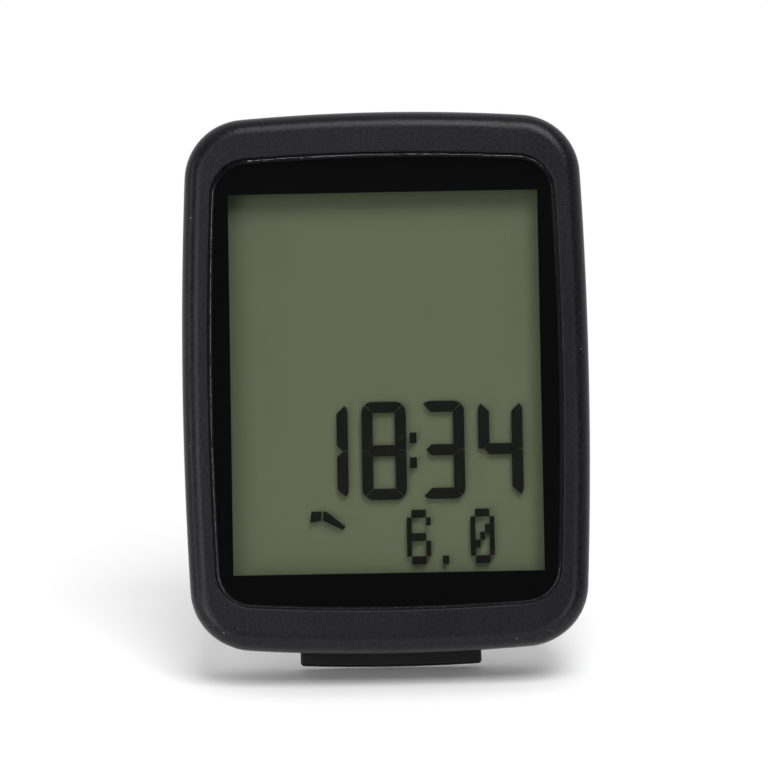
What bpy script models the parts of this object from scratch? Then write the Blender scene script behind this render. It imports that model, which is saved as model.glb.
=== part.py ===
"""Cycling computer: a handlebar display with one operating bar, a coin cell and a twist-lock foot.

Metres, +Z up, display facing -Y. The origin is the centre of the twist-lock foot's rear face.
Pieces are modelled lying on that face, with X to the right, Y up the display and Z (called depth
here) towards the viewer, and an empty stands the whole object upright.
"""

import math

import bmesh
import bpy
from mathutils import Matrix, Vector

# Display window and face
VIEW_WIDTH = 0.0343
VIEW_HEIGHT = 0.0428
BORDER_SIDE = 0.0023
BORDER_END = 0.0038
LENS_GAP = 0.00015
BEZEL_SIDE = 0.0029
BEZEL_END = 0.00465
LENS_SIDE_BOW = 0.00075
LENS_END_BOW = 0.0008
LENS_CORNER = 0.0040
LENS_CHAMFER = 0.0002
BODY_SIDE_BOW = 0.00095
BODY_END_BOW = 0.0012
BODY_CORNER = 0.0068
FRONT_ROUNDING = 0.0019
BACK_ROUNDING = 0.0036

# Layers, from the rear face of the foot to the face of the display
COVER_INSET = 0.0001
COVER_THICKNESS = 0.0017
CELL_CLEARANCE = 0.0002
CELL_HEIGHT = 0.0032
CONTACT_THICKNESS = 0.00025
CONTACT_CLEARANCE = 0.00008
WELL_FLOOR = 0.0010
COMPONENT_SPACE = 0.0024
BOARD_THICKNESS = 0.0010
TRAY_LEG = 0.0013
TRAY_FLOOR = 0.0008
FILM_THICKNESS = 0.00015
GLASS_THICKNESS = 0.00065
LENS_LEDGE = 0.0009
MASK_THICKNESS = 0.00015
MASK_INSET = 0.0003
LENS_THICKNESS = 0.0012
LENS_SINK = 0.0001
SEAT_GAP = 0.00005

# Housing shells
SIDE_WALL = 0.0018
BACK_WALL = 0.0015
REAR_STEP = 0.0003
PARTING_DROP = 0.0004
PARTING_CHAMFER = 0.00025
TONGUE_MARGIN = 0.0007
TONGUE_WIDTH = 0.0006
TONGUE_HEIGHT = 0.0006
TONGUE_CLEARANCE = 0.0001
GASKET_HEIGHT = 0.0003
APERTURE_MARGIN = 0.0006

# Screws that hold the shells and the board together
SCREW_SIDE_INSET = 0.0080
SCREW_SHANK_RADIUS = 0.0008
SCREW_HEAD_RADIUS = 0.0015
SCREW_HEAD_HEIGHT = 0.0011
SCREW_SEAT_DEPTH = 0.0020
SCREW_BITE = 0.0026
SCREW_CLEARANCE = 0.0002
THREAD_CLEARANCE = 0.00005
RECESS_WIDTH = 0.0005
RECESS_LENGTH = 0.0017
RECESS_DEPTH = 0.0007
POST_WALL = 0.00085
POST_SHELF_GAP = 0.00025
SINK_WALL = 0.0009

# Display cell and its tray
GLASS_MARGIN = 0.0010
CONTACT_SHELF = 0.0016
FILM_MARGIN = 0.0002
TRAY_FIT = 0.00015
TRAY_WALL = 0.0011
POST_CLEARANCE = 0.0003
ZEBRA_INSET = 0.00165
ZEBRA_THICKNESS = 0.0012
ZEBRA_CLEARANCE = 0.0001

# Coin cell, its cover and the twist-lock foot
CELL_RADIUS = 0.0100
CELL_CAP_STEP = 0.0013
CELL_CAP_RISE = 0.00025
CELL_EDGE = 0.00025
WELL_CLEARANCE = 0.0004
WELL_WALL = 0.0012
SKIRT_CLEARANCE = 0.00035
SKIRT_WALL = 0.00085
SKIRT_GAP = 0.00025
LUG_REACH = 0.0008
LUG_GAP = 0.0002
LUG_THICKNESS = 0.0007
LUG_PLAY = 0.0001
LUG_ANGLE = 24.0
LUG_COUNT = 3
BAYONET_LEDGE = 0.0007
ENTRY_ANGLE = 28.0
COVER_TURN = 60.0
COVER_RIM = 0.0013
COVER_GAP = 0.0002
COVER_CHAMFER = 0.0003
SEAL_RADIUS = 0.00022
SEAL_GROOVE_WIDTH = 0.00064
SEAL_GROOVE_DEPTH = 0.0005
COIN_SLOT_WIDTH = 0.0018
COIN_SLOT_DEPTH = 0.00095
COIN_RADIUS = 0.0220
FOOT_HEIGHT = 0.0034
FOOT_WALL = 0.0015
FOOT_LUG_REACH = 0.0020
FOOT_LUG_INSET = 0.0002
FOOT_LUG_THICKNESS = 0.0014
FOOT_LUG_ANGLE = 44.0

# Cell contacts
CONTACT_WIDTH = 0.0030
CONTACT_FOOT = 0.0034
CONTACT_SLOT_MARGIN = 0.0003
NEGATIVE_RISER = 0.0030
NEGATIVE_ARM = 0.0080
POSITIVE_GAP = 0.0001
POSITIVE_TOP_DROP = 0.0009

# Operating bar and its switch
BAR_SIDE_ROOM = 0.0044
BAR_DEPTH = 0.0026
BAR_PROUD = 0.0014
BAR_GAP = 0.0002
BAR_ROUNDING = 0.0004
EAR_REACH = 0.0013
EAR_HEIGHT = 0.0010
EAR_GAP = 0.0001
BAR_TRAVEL = 0.0006
BAR_SEAL_WIDTH = 0.0005
BAR_SEAL_HEIGHT = 0.0005
BAR_SEAL_INSET = 0.0007
SWITCH_GAP = 0.0001
SWITCH_WIDTH = 0.0060
SWITCH_LENGTH = 0.0034
SWITCH_SKIN = 0.0005
PLUNGER_PROUD = 0.0008
PLUNGER_INSERT = 0.0010
PLUNGER_WIDTH = 0.0024
PLUNGER_HEIGHT = 0.0012
PLUNGER_GAP = 0.0001

# Parts on the rear of the circuit board
BOARD_GAP = 0.0004
CHIP_RADIUS = 0.0042
CHIP_HEIGHT = 0.0013
CHIP_SPACING = 0.0005
CRYSTAL_RADIUS = 0.0010
CRYSTAL_LENGTH = 0.0060
CRYSTAL_EDGE = 0.0002
CRYSTAL_SPACING = 0.0013
COIL_LENGTH = 0.0120
COIL_FLANGE_RADIUS = 0.0015
COIL_FLANGE = 0.0010
COIL_CORE_RADIUS = 0.0008
COIL_WINDING_RADIUS = 0.00135
COIL_CLEARANCE = 0.00005
COIL_SPACING = 0.0040

# Fineness of round shapes
CORNER_STEPS = 7
SIDE_STEPS = 4
TURN_STEPS = 44
SMALL_TURN_STEPS = 16
ROUNDING_STEPS = 4
MERGE = 0.000001
OVERSHOOT = 0.001
JOIN = 0.0003
SMOOTH_ANGLE = math.radians(35)

# Face sizes that follow from the window
VIEW_HALF_WIDTH = VIEW_WIDTH / 2
VIEW_HALF_HEIGHT = VIEW_HEIGHT / 2
LENS_HALF_WIDTH = VIEW_HALF_WIDTH + BORDER_SIDE
LENS_HALF_HEIGHT = VIEW_HALF_HEIGHT + BORDER_END
BODY_HALF_WIDTH = LENS_HALF_WIDTH + LENS_GAP + BEZEL_SIDE
BODY_HALF_HEIGHT = LENS_HALF_HEIGHT + LENS_GAP + BEZEL_END

# Depths that follow from the layers
COVER_FRONT = COVER_INSET + COVER_THICKNESS
CELL_BACK = COVER_FRONT + CELL_CLEARANCE
CELL_FRONT = CELL_BACK + CELL_HEIGHT
ARM_MIDDLE = CELL_FRONT + CONTACT_CLEARANCE + CONTACT_THICKNESS / 2
WELL_BOTTOM = CELL_FRONT + 2 * CONTACT_CLEARANCE + CONTACT_THICKNESS
WELL_TOP = WELL_BOTTOM + WELL_FLOOR
BOARD_BACK = WELL_TOP + COMPONENT_SPACE
BOARD_FRONT = BOARD_BACK + BOARD_THICKNESS
MOUNTED_BACK = BOARD_BACK - SEAT_GAP
TRAY_BACK = BOARD_FRONT + SEAT_GAP
TRAY_FLOOR_BACK = TRAY_BACK + TRAY_LEG
TRAY_FLOOR_FRONT = TRAY_FLOOR_BACK + TRAY_FLOOR
REFLECTOR_BACK = TRAY_FLOOR_FRONT + SEAT_GAP
REAR_GLASS_BACK = REFLECTOR_BACK + FILM_THICKNESS + SEAT_GAP
FRONT_GLASS_BACK = REAR_GLASS_BACK + GLASS_THICKNESS + SEAT_GAP
POLARIZER_BACK = FRONT_GLASS_BACK + GLASS_THICKNESS + SEAT_GAP
LEDGE_BACK = POLARIZER_BACK + FILM_THICKNESS + SEAT_GAP
LEDGE_FRONT = LEDGE_BACK + LENS_LEDGE
MASK_BACK = LEDGE_FRONT + SEAT_GAP
LENS_BACK = MASK_BACK + MASK_THICKNESS + SEAT_GAP
LENS_FRONT = LENS_BACK + LENS_THICKNESS
FACE = LENS_FRONT + LENS_SINK
PARTING = BOARD_BACK - PARTING_DROP
REAR_RIM = PARTING - SEAT_GAP
BACK_INSIDE = FOOT_HEIGHT + BACK_WALL
SCREW_SEAT = FOOT_HEIGHT + SCREW_SEAT_DEPTH
SCREW_TIP = BOARD_FRONT + SCREW_BITE

# Radii that follow from the coin cell
WELL_RADIUS = CELL_RADIUS + WELL_CLEARANCE
SKIRT_INNER = CELL_RADIUS + SKIRT_CLEARANCE
SKIRT_OUTER = SKIRT_INNER + SKIRT_WALL
BORE_RADIUS = SKIRT_OUTER + SKIRT_GAP
LUG_RADIUS = SKIRT_OUTER + LUG_REACH
UNDERCUT_RADIUS = LUG_RADIUS + LUG_GAP
COVER_RADIUS = UNDERCUT_RADIUS + COVER_RIM
RECESS_RADIUS = COVER_RADIUS + COVER_GAP
FOOT_RADIUS = RECESS_RADIUS + FOOT_WALL
FOOT_LUG_RADIUS = FOOT_RADIUS + FOOT_LUG_REACH
COVER_SEAL_RADIUS = (UNDERCUT_RADIUS + COVER_RADIUS) / 2
RECESS_FLOOR = COVER_FRONT + SEAT_GAP
LEDGE_END = RECESS_FLOOR + BAYONET_LEDGE
LUG_BACK = LEDGE_END + LUG_PLAY
LUG_FRONT = LUG_BACK + LUG_THICKNESS
UNDERCUT_END = LUG_FRONT + LUG_GAP

# Places that follow from the body
GLASS_HALF_WIDTH = VIEW_HALF_WIDTH + GLASS_MARGIN
GLASS_TOP = VIEW_HALF_HEIGHT + GLASS_MARGIN
SHELF_BOTTOM = -GLASS_TOP - CONTACT_SHELF
POST_RADIUS = SCREW_SHANK_RADIUS + POST_WALL
SCREW_X = BODY_HALF_WIDTH - SCREW_SIDE_INSET
SCREW_Y = POST_RADIUS + POST_SHELF_GAP - SHELF_BOTTOM
SCREW_PLACES = [(x, y) for x in (-SCREW_X, SCREW_X) for y in (-SCREW_Y, SCREW_Y)]
SINK_RADIUS = SCREW_HEAD_RADIUS + SCREW_CLEARANCE
REAR_POST_RADIUS = SINK_RADIUS + SINK_WALL
BAR_HALF_WIDTH = SCREW_X - BAR_SIDE_ROOM
BAR_BACK = BACK_INSIDE + SEAT_GAP
BAR_FRONT = BAR_BACK + BAR_DEPTH
BAR_MIDDLE = (BAR_FRONT + BAR_BACK) / 2
EAR_HALF_WIDTH = BAR_HALF_WIDTH + EAR_REACH
INNER_WALL_INSET = REAR_STEP + SIDE_WALL
WELL_OUTER = UNDERCUT_RADIUS + WELL_WALL
COIL_PLACE = (0, WELL_OUTER + COIL_SPACING + COIL_FLANGE_RADIUS)


def clear_scene():
    """Remove whatever the scene holds before the model is made."""
    for obj in list(bpy.data.objects):
        bpy.data.objects.remove(obj, do_unlink=True)


def make_collection(name):
    """Add a collection to the scene."""
    collection = bpy.data.collections.new(name)
    bpy.context.scene.collection.children.link(collection)
    return collection


clear_scene()
PARTS = make_collection("cycling_computer")
CUTTERS = make_collection("cutters")
CUTTERS.hide_render = True
STAND = bpy.data.objects.new("upright_stand", None)
STAND.rotation_euler = (math.pi / 2, 0, 0)
PARTS.objects.link(STAND)


def finish(name, colour, roughness, metallic=0.0, alpha=1.0):
    """Make a plain surface finish."""
    material = bpy.data.materials.new(name)
    material.use_nodes = True
    shader = material.node_tree.nodes["Principled BSDF"]
    shader.inputs["Base Color"].default_value = (*colour, 1.0)
    shader.inputs["Roughness"].default_value = roughness
    shader.inputs["Metallic"].default_value = metallic
    shader.inputs["Alpha"].default_value = alpha
    return material


SHELL_BLACK = finish("shell_black", (0.030, 0.030, 0.033), 0.55)
BAR_BLACK = finish("bar_black", (0.018, 0.019, 0.021), 0.40)
LENS_CLEAR = finish("lens_clear", (0.85, 0.88, 0.86), 0.05, alpha=0.25)
MASK_BLACK = finish("mask_black", (0.004, 0.004, 0.005), 0.30)
CELL_GLASS = finish("cell_glass", (0.62, 0.68, 0.52), 0.08, alpha=0.45)
FILM_GREY = finish("film_grey", (0.30, 0.34, 0.22), 0.35, alpha=0.5)
REFLECTOR_GREEN = finish("reflector_green", (0.13, 0.15, 0.09), 0.45)
TRAY_WHITE = finish("tray_white", (0.62, 0.62, 0.58), 0.50)
SEAL_RUBBER = finish("seal_rubber", (0.045, 0.045, 0.047), 0.75)
ZEBRA_RUBBER = finish("zebra_rubber", (0.35, 0.33, 0.32), 0.70)
BOARD_GREEN = finish("board_green", (0.03, 0.16, 0.07), 0.40)
CHIP_EPOXY = finish("chip_epoxy", (0.015, 0.015, 0.016), 0.35)
FERRITE = finish("ferrite", (0.10, 0.10, 0.11), 0.50)
COPPER_WIRE = finish("copper_wire", (0.55, 0.24, 0.10), 0.30, 1.0)
STEEL = finish("steel", (0.60, 0.60, 0.61), 0.28, 1.0)
SPRING_BRASS = finish("spring_brass", (0.72, 0.63, 0.40), 0.30, 1.0)
SWITCH_PLASTIC = finish("switch_plastic", (0.05, 0.05, 0.055), 0.45)
PLUNGER_WHITE = finish("plunger_white", (0.70, 0.70, 0.68), 0.45)


def arc(centre, radius, start, end, steps):
    """Points along a circular arc, both ends included."""
    angles = [start + (end - start) * step / steps for step in range(steps + 1)]
    return [(centre[0] + radius * math.cos(a), centre[1] + radius * math.sin(a)) for a in angles]


def arc_crossing(side_centre, side_radius, end_centre, end_radius):
    """Upper right crossing of a circle centred on the X axis with one centred on the Y axis."""
    apart = math.hypot(side_centre, end_centre)
    along = (side_radius**2 - end_radius**2 + apart**2) / (2 * apart)
    across = math.sqrt(side_radius**2 - along**2)
    toward = Vector((-side_centre, end_centre)) / apart
    foot = Vector((side_centre, 0)) + along * toward
    sideways = Vector((toward.y, -toward.x)) * across
    return max(foot + sideways, foot - sideways, key=lambda point: point.x + point.y)


def bow_radius(half_chord, bow):
    """Radius of an arc from its half chord and its rise."""
    return (half_chord**2 + bow**2) / (2 * bow)


def bowed_outline(half_width, half_height, side_bow, end_bow, corner, inset=0.0):
    """Rectangle with bowed sides and round corners, moved inwards by inset all the way round."""
    side_radius = bow_radius(half_height, side_bow)
    end_radius = bow_radius(half_width, end_bow)
    side_centre = half_width - side_radius
    end_centre = half_height - end_radius
    middle = arc_crossing(side_centre, side_radius - corner, end_centre, end_radius - corner)
    side_angle = math.atan2(middle.y, middle.x - side_centre)
    end_angle = math.atan2(middle.y - end_centre, middle.x)
    right = arc((side_centre, 0), side_radius - inset, 0, side_angle, SIDE_STEPS)
    corner_arc = arc(middle, corner - inset, side_angle, end_angle, CORNER_STEPS)
    top = arc((0, end_centre), end_radius - inset, end_angle, math.pi / 2, SIDE_STEPS)
    quarter = right + corner_arc[1:] + top[1:]
    upper = quarter + [(-x, y) for x, y in reversed(quarter[:-1])]
    return upper + [(x, -y) for x, y in reversed(upper[1:-1])]


def body_outline(inset=0.0):
    """The body's outline as seen from the front, moved inwards by inset."""
    return bowed_outline(
        BODY_HALF_WIDTH, BODY_HALF_HEIGHT, BODY_SIDE_BOW, BODY_END_BOW, BODY_CORNER, inset
    )


def lens_outline(inset=0.0):
    """The lens's outline, moved inwards by inset, or outwards where inset is negative."""
    return bowed_outline(
        LENS_HALF_WIDTH, LENS_HALF_HEIGHT, LENS_SIDE_BOW, LENS_END_BOW, LENS_CORNER, inset
    )


def lower_edge(x, inset=0.0):
    """Height of the body's bowed lower edge at x, moved inwards by inset."""
    radius = bow_radius(BODY_HALF_WIDTH, BODY_END_BOW)
    return radius - BODY_HALF_HEIGHT - math.sqrt((radius - inset) ** 2 - x**2)


def rectangle(half_width, bottom, top):
    """Corners of an upright rectangle centred on the Y axis."""
    return [(-half_width, bottom), (half_width, bottom), (half_width, top), (-half_width, top)]


def box_outline(low_x, high_x, low_y, high_y):
    """Corners of a rectangle anywhere in the plane."""
    return [(low_x, low_y), (high_x, low_y), (high_x, high_y), (low_x, high_y)]


def ring_sector(inner, outer, middle_angle, width_angle):
    """Outline of a piece of a flat ring, angles in degrees."""
    start = math.radians(middle_angle - width_angle / 2)
    end = math.radians(middle_angle + width_angle / 2)
    outside = arc((0, 0), outer, start, end, CORNER_STEPS)
    inside = arc((0, 0), inner, end, start, CORNER_STEPS)
    return outside + inside


def circle(place, radius, steps=SMALL_TURN_STEPS):
    """Points round a full circle."""
    return arc(place, radius, 0, 2 * math.pi, steps)[:-1]


def add_prism(bm, outline, low, high):
    """Extrude a flat outline from one depth to another."""
    base = bm.faces.new([bm.verts.new((x, y, low)) for x, y in outline])
    raised = bmesh.ops.extrude_face_region(bm, geom=[base])["geom"]
    top = [item for item in raised if isinstance(item, bmesh.types.BMVert)]
    bmesh.ops.translate(bm, verts=top, vec=(0, 0, high - low))


def edges_at(bm, depth):
    """Edges that lie flat at one depth."""
    return [
        edge for edge in bm.edges
        if all(abs(vert.co.z - depth) < MERGE for vert in edge.verts)
    ]


def round_edges(bm, edges, radius, steps):
    """Round some edges, or chamfer them where steps is 1."""
    bmesh.ops.bevel(
        bm, geom=edges, offset=radius, offset_type="OFFSET", segments=steps, profile=0.5,
        affect="EDGES", clamp_overlap=False,
    )


def add_object(name, data, collection, material=None):
    """Put a mesh or curve on the stand, as a part or as a cutter."""
    obj = bpy.data.objects.new(name, data)
    collection.objects.link(obj)
    obj.parent = STAND
    if material:
        data.materials.append(material)
    if collection is CUTTERS:
        obj.hide_render = True
        obj.display_type = "WIRE"
    return obj


def mesh_object(name, bm, collection, material=None):
    """Turn a finished bmesh into an object whose faces look outwards, with smooth round faces."""
    bmesh.ops.recalc_face_normals(bm, faces=bm.faces)
    if bm.calc_volume(signed=True) < 0:
        bmesh.ops.reverse_faces(bm, faces=bm.faces)
    mesh = bpy.data.meshes.new(name)
    bm.to_mesh(mesh)
    bm.free()
    mesh.shade_smooth()
    mesh.set_sharp_from_angle(angle=SMOOTH_ANGLE)
    return add_object(name, mesh, collection, material)


def prism(name, outlines, low, high, collection=None, material=None):
    """One object from one or more outlines, extruded between two depths."""
    bm = bmesh.new()
    for outline in outlines:
        add_prism(bm, outline, low, high)
    return mesh_object(name, bm, collection or CUTTERS, material)


def flat_curve(name, loops, thickness):
    """Filled 2D curve, in which a loop inside another is a hole."""
    data = bpy.data.curves.new(name, "CURVE")
    data.dimensions = "2D"
    data.fill_mode = "BOTH"
    data.extrude = thickness / 2
    for loop in loops:
        spline = data.splines.new("POLY")
        spline.points.add(len(loop) - 1)
        spline.use_cyclic_u = True
        for point, (x, y) in zip(spline.points, loop):
            point.co = (x, y, 0, 1)
    return data


def sheet(name, loops, low, high, material):
    """Flat piece between two depths, with any inner loops as openings."""
    obj = add_object(name, flat_curve(name, loops, high - low), PARTS, material)
    obj.location.z = (low + high) / 2
    return obj


def frame_cutter(name, loops, low, high):
    """Mesh cutter in the shape of a flat frame."""
    obj = add_object(name + "_outline", flat_curve(name, loops, high - low), CUTTERS)
    obj.location.z = (low + high) / 2
    return curve_to_mesh(name, obj, CUTTERS)


def curve_to_mesh(name, obj, collection, material=None):
    """Replace a curve by a welded mesh in the same place."""
    bpy.context.view_layer.update()
    evaluated = obj.evaluated_get(bpy.context.evaluated_depsgraph_get())
    bm = bmesh.new()
    bm.from_mesh(bpy.data.meshes.new_from_object(evaluated))
    bmesh.ops.remove_doubles(bm, verts=bm.verts, dist=MERGE)
    place = obj.matrix_local.copy()
    bpy.data.objects.remove(obj)
    bm.transform(place)
    return mesh_object(name, bm, collection, material)


def turned(name, profile, collection, material=None, closed=False, steps=TURN_STEPS):
    """Shape turned about the depth axis from (radius, depth) points, top to bottom outside."""
    edges = [(i, i + 1) for i in range(len(profile) - 1)]
    if closed:
        edges.append((len(profile) - 1, 0))
    mesh = bpy.data.meshes.new(name)
    mesh.from_pydata([(radius, 0, depth) for radius, depth in profile], edges, [])
    obj = add_object(name, mesh, collection, material)
    screw = obj.modifiers.new("turn", "SCREW")
    screw.steps = steps
    screw.render_steps = steps
    screw.use_merge_vertices = True
    screw.merge_threshold = MERGE
    return obj


def combine(obj, other, operation):
    """Cut one object with another, or join the two."""
    boolean = obj.modifiers.new(other.name, "BOOLEAN")
    boolean.operation = operation
    boolean.solver = "EXACT"
    boolean.object = other


def cut(obj, *tools):
    """Take the tools' shapes out of an object."""
    for tool in tools:
        combine(obj, tool, "DIFFERENCE")


def join(obj, *additions):
    """Fuse further shapes to an object."""
    for addition in additions:
        combine(obj, addition, "UNION")


def move_origin(obj, place):
    """Put an object's origin at a place without moving its shape."""
    obj.data.transform(Matrix.Translation(-Vector(place)))
    obj.location = place


def make_front_housing():
    """Bezel and side walls, with the lens recess, the window and four screw posts."""
    bm = bmesh.new()
    add_prism(bm, body_outline(), PARTING, FACE)
    round_edges(bm, edges_at(bm, FACE), FRONT_ROUNDING, ROUNDING_STEPS)
    round_edges(bm, edges_at(bm, PARTING), PARTING_CHAMFER, 1)
    housing = mesh_object("front_housing", bm, PARTS, SHELL_BLACK)
    cavity = prism("front_cavity", [body_outline(SIDE_WALL)], PARTING - OVERSHOOT, LEDGE_BACK)
    recess = prism("lens_recess", [lens_outline(-LENS_GAP)], LEDGE_FRONT, FACE + OVERSHOOT)
    aperture = prism(
        "display_aperture",
        [rectangle(
            VIEW_HALF_WIDTH + APERTURE_MARGIN,
            -VIEW_HALF_HEIGHT - APERTURE_MARGIN,
            VIEW_HALF_HEIGHT + APERTURE_MARGIN,
        )],
        LEDGE_BACK - OVERSHOOT, FACE + OVERSHOOT,
    )
    posts = prism(
        "front_posts", [circle(place, POST_RADIUS) for place in SCREW_PLACES],
        BOARD_FRONT + SEAT_GAP, LEDGE_BACK + JOIN,
    )
    holes = prism(
        "thread_holes", [circle(place, SCREW_SHANK_RADIUS + THREAD_CLEARANCE) for place in SCREW_PLACES],
        BOARD_FRONT - OVERSHOOT, SCREW_TIP + SCREW_CLEARANCE,
    )
    groove = frame_cutter(
        "tongue_groove",
        [body_outline(TONGUE_MARGIN - TONGUE_CLEARANCE),
         body_outline(TONGUE_MARGIN + TONGUE_WIDTH + TONGUE_CLEARANCE)],
        PARTING - OVERSHOOT, PARTING + TONGUE_HEIGHT + GASKET_HEIGHT + 2 * SEAT_GAP,
    )
    cut(housing, cavity)
    join(housing, posts)
    cut(housing, recess, aperture, holes, groove)


def make_foot():
    """Round foot with the battery well in it: a stepped bore for the cover's flange, skirt and lugs."""
    return turned(
        "foot_and_well",
        [(0, WELL_TOP), (WELL_OUTER, WELL_TOP), (WELL_OUTER, FOOT_HEIGHT + JOIN),
         (FOOT_RADIUS, FOOT_HEIGHT + JOIN), (FOOT_RADIUS, 0), (RECESS_RADIUS, 0),
         (RECESS_RADIUS, RECESS_FLOOR), (BORE_RADIUS, RECESS_FLOOR), (BORE_RADIUS, LEDGE_END),
         (UNDERCUT_RADIUS, LEDGE_END), (UNDERCUT_RADIUS, UNDERCUT_END), (WELL_RADIUS, UNDERCUT_END),
         (WELL_RADIUS, WELL_BOTTOM), (0, WELL_BOTTOM)],
        CUTTERS,
    )


def make_well_opening():
    """Round hole through the back wall, which the wall of the well then lines."""
    radius = UNDERCUT_RADIUS + WELL_WALL / 2
    return prism(
        "well_opening", [circle((0, 0), radius)], FOOT_HEIGHT - OVERSHOOT, BACK_INSIDE + OVERSHOOT,
    )


def lug_angles(turn=0.0):
    """Angles of the cover's lugs, turned from the locked place."""
    return [90 + turn + 360 * index / LUG_COUNT for index in range(LUG_COUNT)]


def make_rear_housing():
    """Back shell with the twist-lock foot, battery well, screw posts and the bar's slot."""
    bm = bmesh.new()
    add_prism(bm, body_outline(REAR_STEP), FOOT_HEIGHT, REAR_RIM)
    round_edges(bm, edges_at(bm, FOOT_HEIGHT), BACK_ROUNDING, ROUNDING_STEPS + 1)
    round_edges(bm, edges_at(bm, REAR_RIM), PARTING_CHAMFER, 1)
    housing = mesh_object("rear_housing", bm, PARTS, SHELL_BLACK)
    bm = bmesh.new()
    add_prism(bm, body_outline(INNER_WALL_INSET), BACK_INSIDE, REAR_RIM + OVERSHOOT)
    round_edges(bm, edges_at(bm, BACK_INSIDE), BACK_ROUNDING - BACK_WALL, ROUNDING_STEPS)
    cavity = mesh_object("rear_cavity", bm, CUTTERS)
    tongue = frame_cutter(
        "tongue",
        [body_outline(TONGUE_MARGIN), body_outline(TONGUE_MARGIN + TONGUE_WIDTH)],
        REAR_RIM - JOIN, PARTING + TONGUE_HEIGHT,
    )
    wells = prism(
        "screw_wells", [circle(place, REAR_POST_RADIUS) for place in SCREW_PLACES],
        BACK_INSIDE - JOIN, SCREW_SEAT + SINK_WALL,
    )
    posts = prism(
        "rear_posts", [circle(place, POST_RADIUS) for place in SCREW_PLACES],
        SCREW_SEAT + SINK_WALL - JOIN, MOUNTED_BACK,
    )
    front_wall_room = frame_cutter(
        "front_wall_room",
        [body_outline(-OVERSHOOT), body_outline(SIDE_WALL + BOARD_GAP)],
        REAR_RIM + SEAT_GAP / 2, MOUNTED_BACK + OVERSHOOT,
    )
    foot_lugs = prism(
        "foot_lugs",
        [ring_sector(RECESS_RADIUS + JOIN, FOOT_LUG_RADIUS, angle, FOOT_LUG_ANGLE) for angle in (0, 180)],
        FOOT_LUG_INSET, FOOT_LUG_INSET + FOOT_LUG_THICKNESS,
    )
    entries = prism(
        "lug_entries",
        [ring_sector(BORE_RADIUS - JOIN, LUG_RADIUS + LUG_GAP / 2, angle, ENTRY_ANGLE)
         for angle in lug_angles(-COVER_TURN)],
        RECESS_FLOOR - JOIN, LEDGE_END + JOIN,
    )
    sinks = prism(
        "screw_sinks", [circle(place, SINK_RADIUS) for place in SCREW_PLACES],
        FOOT_HEIGHT - OVERSHOOT, SCREW_SEAT,
    )
    holes = prism(
        "screw_holes", [circle(place, SCREW_SHANK_RADIUS + SCREW_CLEARANCE) for place in SCREW_PLACES],
        SCREW_SEAT - JOIN, MOUNTED_BACK + OVERSHOOT,
    )
    half_slot = CONTACT_WIDTH / 2 + CONTACT_SLOT_MARGIN
    half_riser = CONTACT_THICKNESS / 2 + CONTACT_SLOT_MARGIN
    negative_slot = prism(
        "negative_slot",
        [box_outline(-half_slot, half_slot, NEGATIVE_RISER - half_riser, NEGATIVE_RISER + half_riser)],
        WELL_BOTTOM - JOIN, WELL_TOP + OVERSHOOT,
    )
    positive_slot = prism(
        "positive_slot",
        [box_outline(CELL_RADIUS, positive_riser() + half_riser, -half_slot, half_slot)],
        CELL_BACK + CELL_HEIGHT - POSITIVE_TOP_DROP - CONTACT_SLOT_MARGIN, WELL_TOP + OVERSHOOT,
    )
    bar_slot = prism(
        "bar_slot",
        [rectangle(
            BAR_HALF_WIDTH + BAR_GAP,
            lower_edge(0) - OVERSHOOT,
            lower_edge(EAR_HALF_WIDTH, INNER_WALL_INSET) + JOIN,
        )],
        BAR_BACK - BAR_GAP, BAR_FRONT + BAR_GAP,
    )
    ear_room = prism(
        "ear_room",
        [rectangle(
            EAR_HALF_WIDTH + BAR_GAP,
            ear_bottom() - EAR_GAP,
            ear_bottom() + EAR_HEIGHT + BAR_TRAVEL + BAR_GAP,
        )],
        BAR_BACK - BAR_GAP, BAR_FRONT + BAR_GAP,
    )
    cut(housing, cavity)
    join(housing, wells, posts)
    cut(housing, front_wall_room, ear_room, sinks, holes, bar_slot, make_well_opening())
    join(housing, tongue, make_foot(), foot_lugs)
    cut(housing, entries, negative_slot, positive_slot)


def make_housing_gasket():
    """Sealing ring at the bottom of the front shell's groove."""
    low = PARTING + TONGUE_HEIGHT + SEAT_GAP
    loops = [body_outline(TONGUE_MARGIN), body_outline(TONGUE_MARGIN + TONGUE_WIDTH)]
    sheet("housing_gasket", loops, low, low + GASKET_HEIGHT, SEAL_RUBBER)


def make_lens():
    """Clear window with a chamfered front edge."""
    bm = bmesh.new()
    add_prism(bm, lens_outline(), LENS_BACK, LENS_FRONT)
    round_edges(bm, edges_at(bm, LENS_FRONT), LENS_CHAMFER, 1)
    mesh_object("display_lens", bm, PARTS, LENS_CLEAR)


def make_lens_mask():
    """Black adhesive frame behind the lens, open over the display."""
    opening = rectangle(VIEW_HALF_WIDTH, -VIEW_HALF_HEIGHT, VIEW_HALF_HEIGHT)
    loops = [lens_outline(MASK_INSET), opening]
    sheet("lens_mask", loops, MASK_BACK, MASK_BACK + MASK_THICKNESS, MASK_BLACK)


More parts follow.
